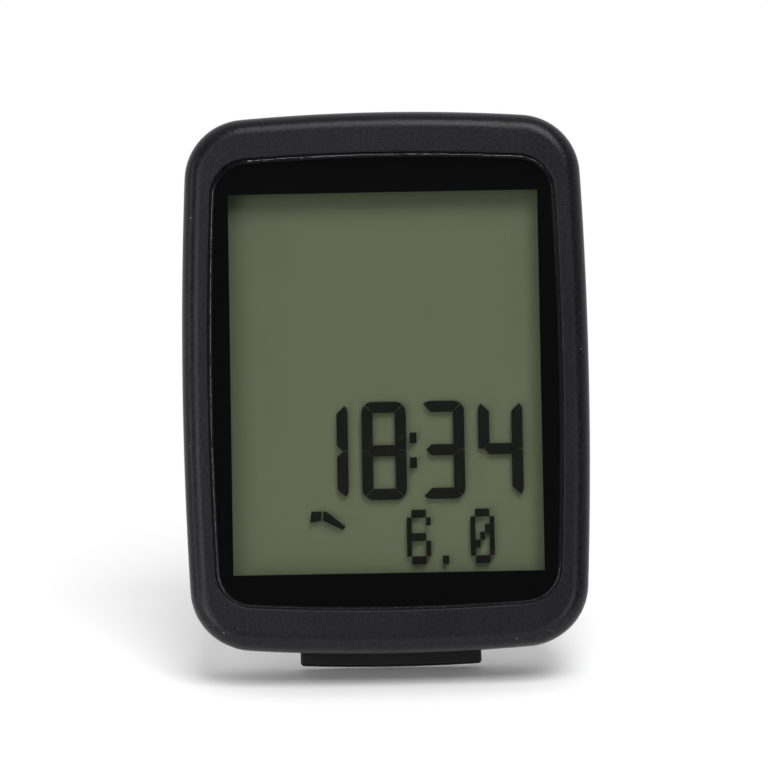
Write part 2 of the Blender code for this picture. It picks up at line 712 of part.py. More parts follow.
def make_display_cell():
    """Polarizer, two glasses and reflector, with the front glass left longer for its contacts."""
    film = rectangle(GLASS_HALF_WIDTH - FILM_MARGIN, FILM_MARGIN - GLASS_TOP, GLASS_TOP - FILM_MARGIN)
    rear = rectangle(GLASS_HALF_WIDTH, -GLASS_TOP, GLASS_TOP)
    front = rectangle(GLASS_HALF_WIDTH, SHELF_BOTTOM, GLASS_TOP)
    sheet("lcd_polarizer", [film], POLARIZER_BACK, POLARIZER_BACK + FILM_THICKNESS, FILM_GREY)
    sheet("lcd_front_glass", [front], FRONT_GLASS_BACK, FRONT_GLASS_BACK + GLASS_THICKNESS, CELL_GLASS)
    sheet("lcd_rear_glass", [rear], REAR_GLASS_BACK, REAR_GLASS_BACK + GLASS_THICKNESS, CELL_GLASS)
    sheet("lcd_reflector", [film], REFLECTOR_BACK, REFLECTOR_BACK + FILM_THICKNESS, REFLECTOR_GREEN)


def zebra_outline(margin=0.0):
    """Outline of the contact strip, or of its slot where a margin is given."""
    middle = (SHELF_BOTTOM - GLASS_TOP) / 2
    half = ZEBRA_THICKNESS / 2 + margin
    return rectangle(GLASS_HALF_WIDTH - ZEBRA_INSET + margin, middle - half, middle + half)


def make_lcd_tray():
    """Frame that carries the display cell in front of the circuit board."""
    pocket_half = GLASS_HALF_WIDTH + TRAY_FIT
    pocket_top = GLASS_TOP + TRAY_FIT
    pocket_bottom = SHELF_BOTTOM - TRAY_FIT
    outer = rectangle(pocket_half + TRAY_WALL, pocket_bottom - TRAY_WALL, pocket_top + TRAY_WALL)
    pocket = rectangle(pocket_half, pocket_bottom, pocket_top)
    tray = prism("lcd_tray", [outer], TRAY_BACK, LEDGE_BACK - SEAT_GAP, PARTS, TRAY_WHITE)
    cut(
        tray,
        prism("lcd_pocket", [pocket], TRAY_FLOOR_FRONT, LEDGE_BACK + OVERSHOOT),
        prism("tray_hollow", [pocket], TRAY_BACK - OVERSHOOT, TRAY_FLOOR_BACK),
        prism("zebra_slot", [zebra_outline(ZEBRA_CLEARANCE)], TRAY_FLOOR_BACK - JOIN, TRAY_FLOOR_FRONT + JOIN),
        prism(
            "post_notches", [circle(place, POST_RADIUS + POST_CLEARANCE) for place in SCREW_PLACES],
            TRAY_BACK - OVERSHOOT, LEDGE_BACK + OVERSHOOT,
        ),
        frame_cutter(
            "shell_wall_room", [body_outline(-OVERSHOOT), body_outline(SIDE_WALL + TRAY_FIT)],
            TRAY_BACK - OVERSHOOT, LEDGE_BACK + OVERSHOOT,
        ),
    )


def make_zebra_strip():
    """Rubber contact strip from the board to the front glass."""
    prism("zebra_strip", [zebra_outline()], TRAY_BACK, FRONT_GLASS_BACK - SEAT_GAP, PARTS, ZEBRA_RUBBER)


def make_circuit_board():
    """Board clamped between the posts of the two shells."""
    outline = body_outline(SIDE_WALL + BOARD_GAP)
    board = prism("circuit_board", [outline], BOARD_BACK, BOARD_FRONT, PARTS, BOARD_GREEN)
    holes = prism(
        "board_holes", [circle(place, SCREW_SHANK_RADIUS + SCREW_CLEARANCE) for place in SCREW_PLACES],
        BOARD_BACK - OVERSHOOT, BOARD_FRONT + OVERSHOOT,
    )
    cut(board, holes)


def chip_height():
    """Height of the chip's middle on the board, clear of the switch below it."""
    return plunger_tip() + PLUNGER_PROUD + SWITCH_LENGTH + CHIP_SPACING + CHIP_RADIUS


def make_controller_chip():
    """Low dome of epoxy over the bonded chip."""
    radius = bow_radius(CHIP_RADIUS, CHIP_HEIGHT)
    reach = math.asin(CHIP_RADIUS / radius)
    dome = arc((0, radius - CHIP_HEIGHT), radius, reach - math.pi / 2, -math.pi / 2, CORNER_STEPS)
    profile = [(0, 0), *dome[:-1], (0, -CHIP_HEIGHT)]
    chip = turned("controller_chip", profile, PARTS, CHIP_EPOXY, steps=SMALL_TURN_STEPS)
    chip.location = (0, chip_height(), MOUNTED_BACK)


def lay_down(obj, place, radius):
    """Lay a turned piece along X against the rear of the circuit board."""
    obj.rotation_euler = (0, math.pi / 2, 0)
    obj.location = (*place, MOUNTED_BACK - radius)


def make_clock_crystal():
    """Small metal can of the clock crystal."""
    half = CRYSTAL_LENGTH / 2
    rim = CRYSTAL_RADIUS - CRYSTAL_EDGE
    profile = [(0, half), (rim, half), (CRYSTAL_RADIUS, half - CRYSTAL_EDGE),
               (CRYSTAL_RADIUS, CRYSTAL_EDGE - half), (rim, -half), (0, -half)]
    crystal = turned("clock_crystal", profile, PARTS, STEEL, steps=SMALL_TURN_STEPS)
    beside_chip = CHIP_RADIUS + CRYSTAL_SPACING + half
    lay_down(crystal, (beside_chip, chip_height()), CRYSTAL_RADIUS)


def make_receiver_coil():
    """Ferrite bobbin and its winding, which pick up the wheel sensor's signal."""
    half = COIL_LENGTH / 2
    neck = half - COIL_FLANGE
    profile = [(0, half), (COIL_FLANGE_RADIUS, half), (COIL_FLANGE_RADIUS, neck),
               (COIL_CORE_RADIUS, neck), (COIL_CORE_RADIUS, -neck),
               (COIL_FLANGE_RADIUS, -neck), (COIL_FLANGE_RADIUS, -half), (0, -half)]
    core = turned("receiver_core", profile, PARTS, FERRITE, steps=SMALL_TURN_STEPS)
    inner = COIL_CORE_RADIUS + COIL_CLEARANCE
    end = neck - COIL_CLEARANCE
    ring = [(inner, end), (COIL_WINDING_RADIUS, end), (COIL_WINDING_RADIUS, -end), (inner, -end)]
    winding = turned("receiver_winding", ring, PARTS, COPPER_WIRE, closed=True, steps=SMALL_TURN_STEPS)
    lay_down(core, COIL_PLACE, COIL_FLANGE_RADIUS)
    lay_down(winding, COIL_PLACE, COIL_FLANGE_RADIUS)


def make_coin_cell():
    """Coin cell, its can towards the cover and its cap towards the board."""
    cap = CELL_RADIUS - CELL_CAP_STEP
    shoulder = CELL_FRONT - CELL_CAP_RISE
    profile = [(0, CELL_FRONT), (cap, CELL_FRONT), (cap, shoulder),
               (CELL_RADIUS - CELL_EDGE, shoulder), (CELL_RADIUS, shoulder - CELL_EDGE),
               (CELL_RADIUS, CELL_BACK + CELL_EDGE), (CELL_RADIUS - CELL_EDGE, CELL_BACK), (0, CELL_BACK)]
    turned("coin_cell", profile, PARTS, STEEL)


def bent_strip(name, path, across, material):
    """Sprung metal strip along a path, its width along the across direction."""
    half = Vector(across) * CONTACT_WIDTH / 2
    bm = bmesh.new()
    left = [bm.verts.new(Vector(point) - half) for point in path]
    edges = [bm.edges.new(pair) for pair in zip(left, left[1:])]
    raised = bmesh.ops.extrude_edge_only(bm, edges=edges)["geom"]
    far_side = [item for item in raised if isinstance(item, bmesh.types.BMVert)]
    bmesh.ops.translate(bm, verts=far_side, vec=2 * half)
    strip = mesh_object(name, bm, PARTS, material)
    solidify = strip.modifiers.new("thickness", "SOLIDIFY")
    solidify.thickness = CONTACT_THICKNESS
    solidify.offset = 0
    solidify.use_even_offset = True


def positive_riser():
    """Distance of the positive contact's riser from the well's axis."""
    return CELL_RADIUS + POSITIVE_GAP + CONTACT_THICKNESS / 2


def make_contacts():
    """Strip under the cell's cap and strip against the side of its can."""
    foot_depth = MOUNTED_BACK - CONTACT_THICKNESS / 2
    bent_strip(
        "negative_contact",
        [(0, NEGATIVE_RISER + CONTACT_FOOT, foot_depth), (0, NEGATIVE_RISER, foot_depth),
         (0, NEGATIVE_RISER, ARM_MIDDLE), (0, NEGATIVE_RISER - NEGATIVE_ARM, ARM_MIDDLE)],
        (1, 0, 0), SPRING_BRASS,
    )
    riser = positive_riser()
    bent_strip(
        "positive_contact",
        [(riser + CONTACT_FOOT, 0, foot_depth), (riser, 0, foot_depth),
         (riser, 0, CELL_FRONT - POSITIVE_TOP_DROP)],
        (0, 1, 0), SPRING_BRASS,
    )


def make_battery_cover():
    """Round cover with a coin slot, a skirt round the cell and three bayonet lugs."""
    groove_in = COVER_SEAL_RADIUS - SEAL_GROOVE_WIDTH / 2
    groove_out = COVER_SEAL_RADIUS + SEAL_GROOVE_WIDTH / 2
    groove_floor = COVER_FRONT - SEAL_GROOVE_DEPTH
    skirt_end = LUG_FRONT + LUG_PLAY
    profile = [(0, COVER_FRONT), (SKIRT_INNER, COVER_FRONT), (SKIRT_INNER, skirt_end),
               (SKIRT_OUTER, skirt_end), (SKIRT_OUTER, COVER_FRONT),
               (groove_in, COVER_FRONT), (groove_in, groove_floor),
               (groove_out, groove_floor), (groove_out, COVER_FRONT),
               (COVER_RADIUS, COVER_FRONT), (COVER_RADIUS, COVER_INSET + COVER_CHAMFER),
               (COVER_RADIUS - COVER_CHAMFER, COVER_INSET), (0, COVER_INSET)]
    cover = turned("battery_cover", profile, PARTS, SHELL_BLACK)
    lugs = prism(
        "cover_lugs",
        [ring_sector(SKIRT_INNER + JOIN, LUG_RADIUS, angle, LUG_ANGLE) for angle in lug_angles()],
        LUG_BACK, LUG_FRONT,
    )
    bm = bmesh.new()
    coin = bmesh.ops.create_cone(
        bm, cap_ends=True, segments=2 * TURN_STEPS, radius1=COIN_RADIUS, radius2=COIN_RADIUS,
        depth=COIN_SLOT_WIDTH,
    )
    bmesh.ops.rotate(bm, verts=coin["verts"], matrix=Matrix.Rotation(math.pi / 2, 3, "X"))
    bmesh.ops.translate(
        bm, verts=coin["verts"], vec=(0, 0, COVER_INSET + COIN_SLOT_DEPTH - COIN_RADIUS)
    )
    join(cover, lugs)
    cut(cover, mesh_object("coin_slot", bm, CUTTERS))


def make_cover_seal():
    """Sealing ring in the groove under the cover's flange."""
    middle = COVER_FRONT - SEAL_RADIUS
    section = arc((COVER_SEAL_RADIUS, middle), SEAL_RADIUS, math.pi / 2, -1.5 * math.pi, 2 * ROUNDING_STEPS)
    turned("cover_seal", section[:-1], PARTS, SEAL_RUBBER, closed=True)


def make_housing_screws():
    """Four cross-recess screws from the back."""
    head_back = SCREW_SEAT - SEAT_GAP - SCREW_HEAD_HEIGHT
    half_bar = RECESS_WIDTH / 2
    half_length = RECESS_LENGTH / 2
    cross = [(half_bar, half_bar), (half_length, half_bar), (half_length, -half_bar), (half_bar, -half_bar),
             (half_bar, -half_length), (-half_bar, -half_length), (-half_bar, -half_bar),
             (-half_length, -half_bar), (-half_length, half_bar), (-half_bar, half_bar),
             (-half_bar, half_length), (half_bar, half_length)]
    profile = [(0, SCREW_TIP), (SCREW_SHANK_RADIUS / 2, SCREW_TIP),
               (SCREW_SHANK_RADIUS, SCREW_TIP - SCREW_SHANK_RADIUS / 2),
               (SCREW_SHANK_RADIUS, SCREW_SEAT - SEAT_GAP), (SCREW_HEAD_RADIUS, SCREW_SEAT - SEAT_GAP),
               (SCREW_HEAD_RADIUS, head_back + SCREW_HEAD_HEIGHT / 3),
               (SCREW_HEAD_RADIUS - SCREW_HEAD_HEIGHT / 3, head_back), (0, head_back)]
    for number, place in enumerate(SCREW_PLACES, 1):
        screw = turned(f"housing_screw_{number}", profile, PARTS, STEEL, steps=SMALL_TURN_STEPS)
        screw.location = (*place, 0)
        recess = prism(f"cross_recess_{number}", [cross], head_back - OVERSHOOT, head_back + RECESS_DEPTH)
        recess.location = (*place, 0)
        cut(screw, recess)


def ear_bottom():
    """Lower side of the bar's ears, just inside the housing wall."""
    return lower_edge(EAR_HALF_WIDTH, INNER_WALL_INSET) + EAR_GAP


def bar_outline():
    """Bar with a bowed lower edge that follows the body, and ears that keep it in its slot."""
    steps = 2 * SIDE_STEPS
    across = [BAR_HALF_WIDTH * (2 * step / steps - 1) for step in range(steps + 1)]
    lower = [(x, lower_edge(x, -BAR_PROUD)) for x in across]
    low = ear_bottom()
    high = low + EAR_HEIGHT
    right = [(BAR_HALF_WIDTH, low), (EAR_HALF_WIDTH, low), (EAR_HALF_WIDTH, high)]
    return lower + right + [(-x, y) for x, y in reversed(right)]


def bar_seal_half():
    """Half sizes of the bar's section at the bottom of its seal groove."""
    narrowing = BAR_SEAL_WIDTH - BAR_GAP + SEAT_GAP
    return BAR_HALF_WIDTH - narrowing, BAR_DEPTH / 2 - narrowing


def bar_seal_height():
    """Height of the middle of the bar's seal, inside the thickness of the housing wall."""
    return lower_edge(0, INNER_WALL_INSET) - BAR_SEAL_INSET


def bar_frame(grow_in, grow_out):
    """Rectangular loops round the bar's section."""
    half_width, half_depth = bar_seal_half()
    outer_width = BAR_HALF_WIDTH + BAR_GAP + grow_out
    outer_depth = BAR_DEPTH / 2 + BAR_GAP + grow_out
    inner_width = half_width + grow_in
    inner_depth = half_depth + grow_in
    return [rectangle(outer_width, -outer_depth, outer_depth),
            rectangle(inner_width, -inner_depth, inner_depth)]


def stand_across(obj):
    """Turn a flat piece so that it lies across the bar, at the seal's height."""
    obj.rotation_euler = (math.pi / 2, 0, 0)
    obj.location = (0, bar_seal_height(), BAR_MIDDLE)


def make_mode_button():
    """Operating bar across the lower edge, pressed upwards into the body."""
    bm = bmesh.new()
    add_prism(bm, bar_outline(), BAR_BACK, BAR_FRONT)
    reach = lower_edge(BAR_HALF_WIDTH, -BAR_PROUD) + MERGE
    outer = [edge for edge in bm.edges if all(vert.co.y < reach for vert in edge.verts)]
    sharp = [edge for edge in outer if edge.calc_face_angle() > SMOOTH_ANGLE]
    round_edges(bm, sharp, BAR_ROUNDING, ROUNDING_STEPS - 1)
    button = mesh_object("mode_button", bm, PARTS, BAR_BLACK)
    height = BAR_SEAL_HEIGHT + 2 * SEAT_GAP
    groove = add_object("seal_groove_outline", flat_curve("seal_groove", bar_frame(0, JOIN), height), CUTTERS)
    stand_across(groove)
    cut(button, curve_to_mesh("seal_groove", groove, CUTTERS))
    move_origin(button, (0, ear_bottom(), BAR_MIDDLE))


def make_button_seal():
    """Rubber ring round the bar where it passes through the housing wall."""
    loops = bar_frame(SEAT_GAP, -SEAT_GAP)
    seal = add_object("button_seal", flat_curve("button_seal", loops, BAR_SEAL_HEIGHT), PARTS, SEAL_RUBBER)
    stand_across(seal)


def plunger_tip():
    """Height of the switch plunger's tip, just above the bar's ears."""
    return ear_bottom() + EAR_HEIGHT + SWITCH_GAP


def plunger_outline(grow):
    """Section of the plunger across its travel, or of its bore."""
    half_height = PLUNGER_HEIGHT / 2 + grow
    return rectangle(PLUNGER_WIDTH / 2 + grow, BAR_MIDDLE - half_height, BAR_MIDDLE + half_height)


def rod_along_y(name, outline, low, high, collection, material=None):
    """Extrude an outline given in X and depth along the Y direction."""
    bm = bmesh.new()
    add_prism(bm, [(x, -depth) for x, depth in outline], low, high)
    bmesh.ops.rotate(bm, verts=bm.verts, matrix=Matrix.Rotation(-math.pi / 2, 3, "X"))
    return mesh_object(name, bm, collection, material)


def make_mode_switch():
    """Side-pressed switch on the board, with the bore for its plunger."""
    bottom = plunger_tip() + PLUNGER_PROUD
    back = BAR_MIDDLE - PLUNGER_HEIGHT / 2 - SWITCH_SKIN
    body = prism(
        "mode_switch", [rectangle(SWITCH_WIDTH / 2, bottom, bottom + SWITCH_LENGTH)],
        back, MOUNTED_BACK, PARTS, SWITCH_PLASTIC,
    )
    bore_end = bottom + PLUNGER_INSERT + BAR_TRAVEL + PLUNGER_GAP
    bore = rod_along_y("plunger_bore", plunger_outline(PLUNGER_GAP), bottom - OVERSHOOT, bore_end, CUTTERS)
    cut(body, bore)


def make_switch_plunger():
    """Plunger between the bar and the switch's spring."""
    tip = plunger_tip()
    end = tip + PLUNGER_PROUD + PLUNGER_INSERT
    plunger = rod_along_y("switch_plunger", plunger_outline(0), tip, end, PARTS, PLUNGER_WHITE)
    move_origin(plunger, (0, tip, BAR_MIDDLE))


def main():
    """Make every piece of the computer."""
    make_front_housing()
    make_rear_housing()
    make_housing_gasket()
    make_lens()
    make_lens_mask()
    make_display_cell()
    make_lcd_tray()
    make_zebra_strip()
    make_circuit_board()
    make_controller_chip()
    make_clock_crystal()
    make_receiver_coil()
    make_coin_cell()
    make_contacts()
    make_battery_cover()
    make_cover_seal()
    make_housing_screws()
    make_mode_button()
    make_button_seal()
    make_mode_switch()
    make_switch_plunger()


main()
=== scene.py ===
"""Looks of a cycling computer: its case, window, display, operating bar, battery cover and stage."""
import math

import bmesh
import bpy
from mathutils import Euler, Matrix, Vector


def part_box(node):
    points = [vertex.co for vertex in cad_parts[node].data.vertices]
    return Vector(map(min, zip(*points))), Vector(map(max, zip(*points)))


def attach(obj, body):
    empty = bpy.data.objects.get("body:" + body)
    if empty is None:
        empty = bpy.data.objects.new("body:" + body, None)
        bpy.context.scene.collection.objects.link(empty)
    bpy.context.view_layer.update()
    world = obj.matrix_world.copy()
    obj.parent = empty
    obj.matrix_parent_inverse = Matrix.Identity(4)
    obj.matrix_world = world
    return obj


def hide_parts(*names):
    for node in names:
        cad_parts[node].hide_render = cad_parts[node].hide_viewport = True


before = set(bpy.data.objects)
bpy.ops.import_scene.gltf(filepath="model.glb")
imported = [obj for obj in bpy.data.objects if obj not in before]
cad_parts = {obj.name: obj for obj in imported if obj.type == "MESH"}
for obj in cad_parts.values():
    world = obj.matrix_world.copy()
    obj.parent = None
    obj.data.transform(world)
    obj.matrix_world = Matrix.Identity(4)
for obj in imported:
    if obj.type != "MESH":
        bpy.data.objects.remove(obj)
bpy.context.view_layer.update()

bl_info = {
    "name": "Cycling computer looks",
    "version": (1, 0, 0),
    "blender": (4, 5, 0),
    "location": "View3D > Sidebar > Cycling computer",
    "description": "Builds the looks of a cycling computer around its CAD frame",
    "category": "Object",
}

# How finely curves are drawn
SIDE_STEPS = 24
CORNER_STEPS = 16
ROUND_STEPS = 12
EDGE_STEPS = ROUND_STEPS // 2
TURN_POINTS = 128

# Distance under which points merge, angle under which edges are smooth, and width of the ring that
# keeps a flat face flat beside a round edge
MERGE_DISTANCE = 1e-7
SMOOTH_ANGLE = math.radians(16)
SUPPORT = 0.00008

# Share of the room between the two glasses that stays free on each side of a numeral
NUMERAL_MARGIN = 0.2

# Textures: scale and detail of noise, how far it changes gloss and clearness, and specks of dust
CLOUD_SCALE = 150.0
GRAIN_DETAIL = 3.0
CLEAR_DETAIL = 2.0
GLOSS_CHANGE = 0.07
CLEAR_CHANGE = 0.003
DUST_PITCH = 0.0007
DUST_SIZE = 0.00009
DUST_SHARE = 0.25
DUST_BLUR = 0.02

# Clear layers that a ray may pass, the camera's sensor and near limit, and cuts across the floor
CLEAR_BOUNCES = 32
SENSOR_WIDTH = 36.0
CLIP_START = 0.01
FLOOR_CUTS = 4


def amount(name, description, default, **kind):
    """A number that a user may change, of that kind."""
    return bpy.props.FloatProperty(name=name, description=description, default=default, **kind)


def length(name, description, default):
    """A length that a user may change, in metres."""
    return amount(name, description, default, unit="LENGTH", precision=5, min=0.0)


def offset(name, description, default):
    """A distance from the middle that a user may change, in metres to the right or up."""
    return amount(name, description, default, unit="LENGTH", precision=5)


def turn(name, description, degrees):
    """An angle that a user may change."""
    return amount(name, description, math.radians(degrees), subtype="ANGLE")


def numbers(name, description, default, **kind):
    """Several numbers that a user may change, of that kind."""
    return bpy.props.FloatVectorProperty(
        name=name, description=description, default=default, size=len(default), **kind)


def colour(name, description, default):
    """A colour that a user may change, as linear red, green and blue."""
    return numbers(name, description, default, subtype="COLOR", min=0.0, max=1.0)


def place(name, description, default):
    """A place that a user may change, in metres."""
    return numbers(name, description, default, subtype="TRANSLATION", unit="LENGTH")


def area(name, description, default):
    """A width and a height that a user may change, in metres."""
    return numbers(name, description, default, unit="LENGTH", min=0.0)


# Depths and half sizes that come from the frame
def depth_range(node):
    """Depths of a node's rear and front faces, in metres in front of the mounting plane."""
    low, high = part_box(node)
    return -high[1], -low[1]


def half_size(node):
    """Half the width and half the height of a node."""
    low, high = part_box(node)
    return (high[0] - low[0]) / 2, (high[2] - low[2]) / 2


PARTING, FACE = depth_range("front_housing")
LENS_REAR, LENS_FRONT = depth_range("display_lens")
MASK_REAR, MASK_FRONT = depth_range("lens_mask")
COVER_REAR, COVER_FRONT = depth_range("battery_cover")
BAR_REAR, BAR_FRONT = depth_range("mode_button")
BODY_HALF = half_size("front_housing")
LENS_HALF = half_size("display_lens")
COVER_RADIUS = half_size("battery_cover")[0]
BAR_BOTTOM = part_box("mode_button")[0][2]
NUMERAL_REAR = depth_range("lcd_rear_glass")[1]
NUMERAL_FRONT = depth_range("lcd_front_glass")[0]
SCREW_NODES = sorted(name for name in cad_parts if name.startswith("housing_screw"))


class CaseSizes(bpy.types.PropertyGroup):
    """Sizes of the two halves of the case."""
    side_bow: length("Side bow", "How far the middle of each side stands out", 0.00095)
    end_bow: length("End bow", "How far the middle of each end stands out", 0.0012)
    corner: length("Corner radius", "Radius of the four corners", 0.0068)
    front_rounding: length("Front rounding", "Radius of the front edge", 0.0019)
    back_rounding: length("Back rounding", "Radius of the rear edge", 0.0036)
    wall: length("Wall", "Thickness of the side wall", 0.0018)
    parting_chamfer: length("Parting chamfer", "Chamfer on each side of the parting line", 0.00025)
    parting_gap: length("Parting gap", "Gap between the two halves", 0.00005)
    rear_step: length("Rear step", "How far the rear half stands in from the front half", 0.0003)
    lip: length("Window lip", "Rounding of the edge round the window", 0.00012)
    ledge: length("Ledge", "Width of the ledge under the window", 0.0014)
    back_face: length("Back face", "Depth of the flat back face", 0.0034)
    floor: length("Floor", "Thickness of the back wall", 0.0015)


class FootSizes(bpy.types.PropertyGroup):
    """Sizes of the twist foot and the battery well."""
    foot_radius: length("Foot radius", "Radius of the round foot", 0.0152)
    lug_radius: length("Lug radius", "Radius of the two lugs", 0.0172)
    lug_height: length("Lug height", "Thickness of the two lugs", 0.0014)
    lug_angle: turn("Lug angle", "Angle that each lug takes up", 44.0)
    recess_radius: length("Recess radius", "Radius of the recess for the cover", 0.0137)
    recess_floor: length("Recess floor", "Depth of the ledge that the cover lies on", 0.00185)
    well_radius: length("Well radius", "Radius of the battery well", 0.0104)
    well_floor: length("Well floor", "Depth of the floor of the battery well", 0.00561)
    well_wall: length("Well wall", "Thickness of the wall and floor of the well", 0.0010)
    well_outer: length("Well outer radius", "Radius of the outside of the well", 0.0134)
    edge: length("Foot edge", "Chamfer of the edges of the foot", 0.0002)
    fillet: length("Foot fillet", "Fillet between the foot and the back face", 0.0005)


class CoverSizes(bpy.types.PropertyGroup):
    """Sizes of the battery cover and the screws."""
    edge: length("Cover edge", "Rounding of the edge of the cover", 0.0002)
    skirt_outer: length("Skirt outer radius", "Outside of the skirt", 0.0112)
    skirt_inner: length("Skirt inner radius", "Inside of the skirt", 0.01035)
    plate: length("Cover plate", "Thickness of the plate", 0.0017)
    slot_width: length("Coin slot width", "Width of the coin slot", 0.0018)
    slot_depth: length("Coin slot depth", "Depth of the coin slot", 0.00095)
    coin_radius: length("Coin radius", "Radius of the scoop of the coin slot", 0.0220)
    sink_radius: length("Screw sink radius", "Radius of the sunk place of each screw", 0.0017)
    sink_floor: length("Screw sink floor", "Depth of the floor of each sunk place", 0.0054)
    sink_wall: length("Screw sink wall", "Wall round each sunk place", 0.0008)


class BarSizes(bpy.types.PropertyGroup):
    """Sizes of the operating bar."""
    width: length("Bar width", "Width of the bar", 0.0202)
    proud: length("Proud", "How far the bar stands out of the case", 0.0014)
    rounding: length("Bar rounding", "Radius of the edges of the bar", 0.0003)
    corner: length("Bar corner", "Radius of the two lower corners", 0.0004)
    inner: length("Bar inner edge", "How far up the bar reaches inside the case", 0.0280)
    play: length("Bar play", "Gap round the bar in its slot", 0.0002)


class WindowSizes(bpy.types.PropertyGroup):
    """Sizes of the window and the printed border behind it."""
    side_bow: length("Side bow", "How far the middle of each side stands out", 0.00075)
    end_bow: length("End bow", "How far the middle of each end stands out", 0.0008)
    corner: length("Corner radius", "Radius of the four corners", 0.0040)
    gap: length("Gap", "Gap between the window and the case", 0.00015)
    edge: length("Window edge", "Rounding of the front edge of the window", 0.00018)
    mask_inset: length("Border inset", "How far the print keeps from the edge", 0.0003)
    view_width: length("View width", "Half the width of the clear view", 0.01715)
    view_height: length("View height", "Half the height of the clear view", 0.0211)
    view_drop: length("View drop", "How far the clear view lies below the middle", 0.0001)


class NumeralSizes(bpy.types.PropertyGroup):
    """Sizes and places of what the display shows."""
    height: length("Numeral height", "Height of the large numerals", 0.0109)
    width: length("Numeral width", "Width of the large numerals", 0.00495)
    stroke: length("Stroke", "Width of a segment", 0.00125)
    gap: length("Segment gap", "Half the gap between segments", 0.00003)
    row: offset("Large row", "Height of the large row from the middle", -0.00759)
    first: offset("First numeral", "Place of the first large numeral from the middle", -0.00678)
    pitch: length("Numeral pitch", "Distance from one large numeral to the next", 0.00646)
    colon_width: length("Colon width", "Width of a dot of the colon", 0.00078)
    colon_height: length("Colon height", "Height of a dot of the colon", 0.0012)
    colon_rise: length("Colon rise", "Distance of a dot of the colon from the middle of the row", 0.00137)
    small_row: offset("Small row", "Height of the small row from the middle", -0.01722)
    small_first: offset("First small numeral", "Place of the first small numeral from the middle", 0.00337)
    small_pitch: length("Small pitch", "Distance from one small numeral to the next", 0.00704)
    dot_width: length("Dot width", "Pitch of the dots across", 0.00053)
    dot_height: length("Dot height", "Pitch of the dots up and down", 0.00086)
    dot_share: amount("Dot share", "Size of a dot as a share of its pitch", 1.04)
    point_width: length("Point width", "Width of the decimal point", 0.00072)
    point_height: length("Point height", "Height of the decimal point", 0.00094)
    point_back: length("Point place", "Distance of the point from the numeral after it", 0.0041)
    marker_across: offset("Marker across", "Place of the marker from the middle", -0.00795)
    marker_up: offset("Marker up", "Height of the marker from the middle", -0.0148)
    marker_half: length("Marker size", "Half the height of the block of the marker", 0.0006)
    large_text: bpy.props.StringProperty(
        name="Large reading", description="What the large row shows", default="18:34")
    small_text: bpy.props.StringProperty(
        name="Small reading", description="What the small row shows", default="6.0")


class Finishes(bpy.types.PropertyGroup):
    """Colours of the pieces that show most."""
    case: colour("Case", "Colour of the case", (0.0086, 0.0084, 0.0103))
    dust: colour("Dust", "Colour of the specks of dust on the case", (0.2, 0.2, 0.205))
    bar: colour("Bar", "Colour of the operating bar", (0.0040, 0.0040, 0.0053))
    border: colour("Border", "Colour of the print behind the window", (0.0012, 0.0012, 0.0015))
    display: colour("Display", "Colour of the reflector behind the display", (0.1115, 0.1232, 0.0747))
    numeral: colour("Numerals", "Colour of the numerals", (0.0045, 0.0044, 0.0032))


class StageSettings(bpy.types.PropertyGroup):
    """Settings of the floor, the lamps and the camera."""
    lean: turn("Lean", "How far the object leans back from upright", 16.0)
    floor_size: length("Floor size", "Half the width of the floor", 0.9)
    fade_start: length("Fade start", "Distance from the object where the floor starts to fade", 0.035)
    fade_end: length("Fade end", "Distance from the object where the floor ends", 0.11)
    floor_grey: amount("Floor grey", "How pale the floor is to the light that it throws back", 0.8)
    floor_white: amount("Floor white", "How pale the floor is to the camera and in reflections", 1.05)
    floor_lift: amount("Floor lift", "Light that the floor adds for the camera and in reflections", 0.05)
    camera_distance: length("Camera distance", "Distance from the middle of the object", 0.5)
    camera_elevation: turn("Camera elevation", "Height of the camera above the level", -4.334)
    camera_azimuth: turn("Camera azimuth", "Turn of the camera round the object", 0.375)
    camera_roll: turn("Camera roll", "Roll of the picture", 1.024)
    camera_lens: amount("Lens", "Focal length in millimetres on a 36 mm sensor", 209.2, unit="CAMERA")
    shift_x: amount("Shift across", "Lens shift across", -0.0028)
    shift_y: amount("Shift up", "Lens shift up", 0.0022)
    near_world: amount("Near world", "Light of the world from the camera's side", 0.02)
    far_world: amount("Far world", "Light of the world from behind the object", 0.95)
    world_start: amount("World start", "How far round, from -1 to 1, the world starts to grow light", -0.6)
    world_end: amount("World end", "How far round, from -1 to 1, the world is fully light", 0.25)


# Place, width and height, and power of each lamp
LAMPS = {
    "top": ((0.14, -0.61, 0.47), (0.45, 0.45), 4.5),
    "front": ((-0.22, -0.6, 0.04), (0.2, 0.2), 0.6),
    "rim": ((-0.5, -0.22, 0.02), (0.06, 0.4), 0.35),
    "low": ((-0.32, -0.40, -0.17), (0.2, 0.2), 0.75),
    "fill": ((0.25, -0.6, -0.12), (0.2, 0.2), 0.5),
}
for lamp_name, (lamp_place, lamp_size, lamp_power) in LAMPS.items():
    label = lamp_name.capitalize() + " lamp"
    StageSettings.__annotations__.update({
        lamp_name + "_place": place(label + " place", f"Where the {lamp_name} lamp stands", lamp_place),
        lamp_name + "_size": area(label + " size", f"Width and height of the {lamp_name} lamp", lamp_size),
        lamp_name + "_power": amount(label, f"Power of the {lamp_name} lamp", lamp_power, unit="POWER"),
    })


# Outlines
def arc_points(centre, radius, start, end, steps):
    """Points along an arc in the plane, both ends included."""
    points = []
    for step in range(steps + 1):
        angle = start + (end - start) * step / steps
        points.append((centre[0] + radius * math.cos(angle), centre[1] + radius * math.sin(angle)))
    return points


def bow_radius(half_chord, bow):
    """Radius of the arc that stands out by the bow in the middle of its chord."""
    return (half_chord ** 2 + bow ** 2) / (2 * bow)


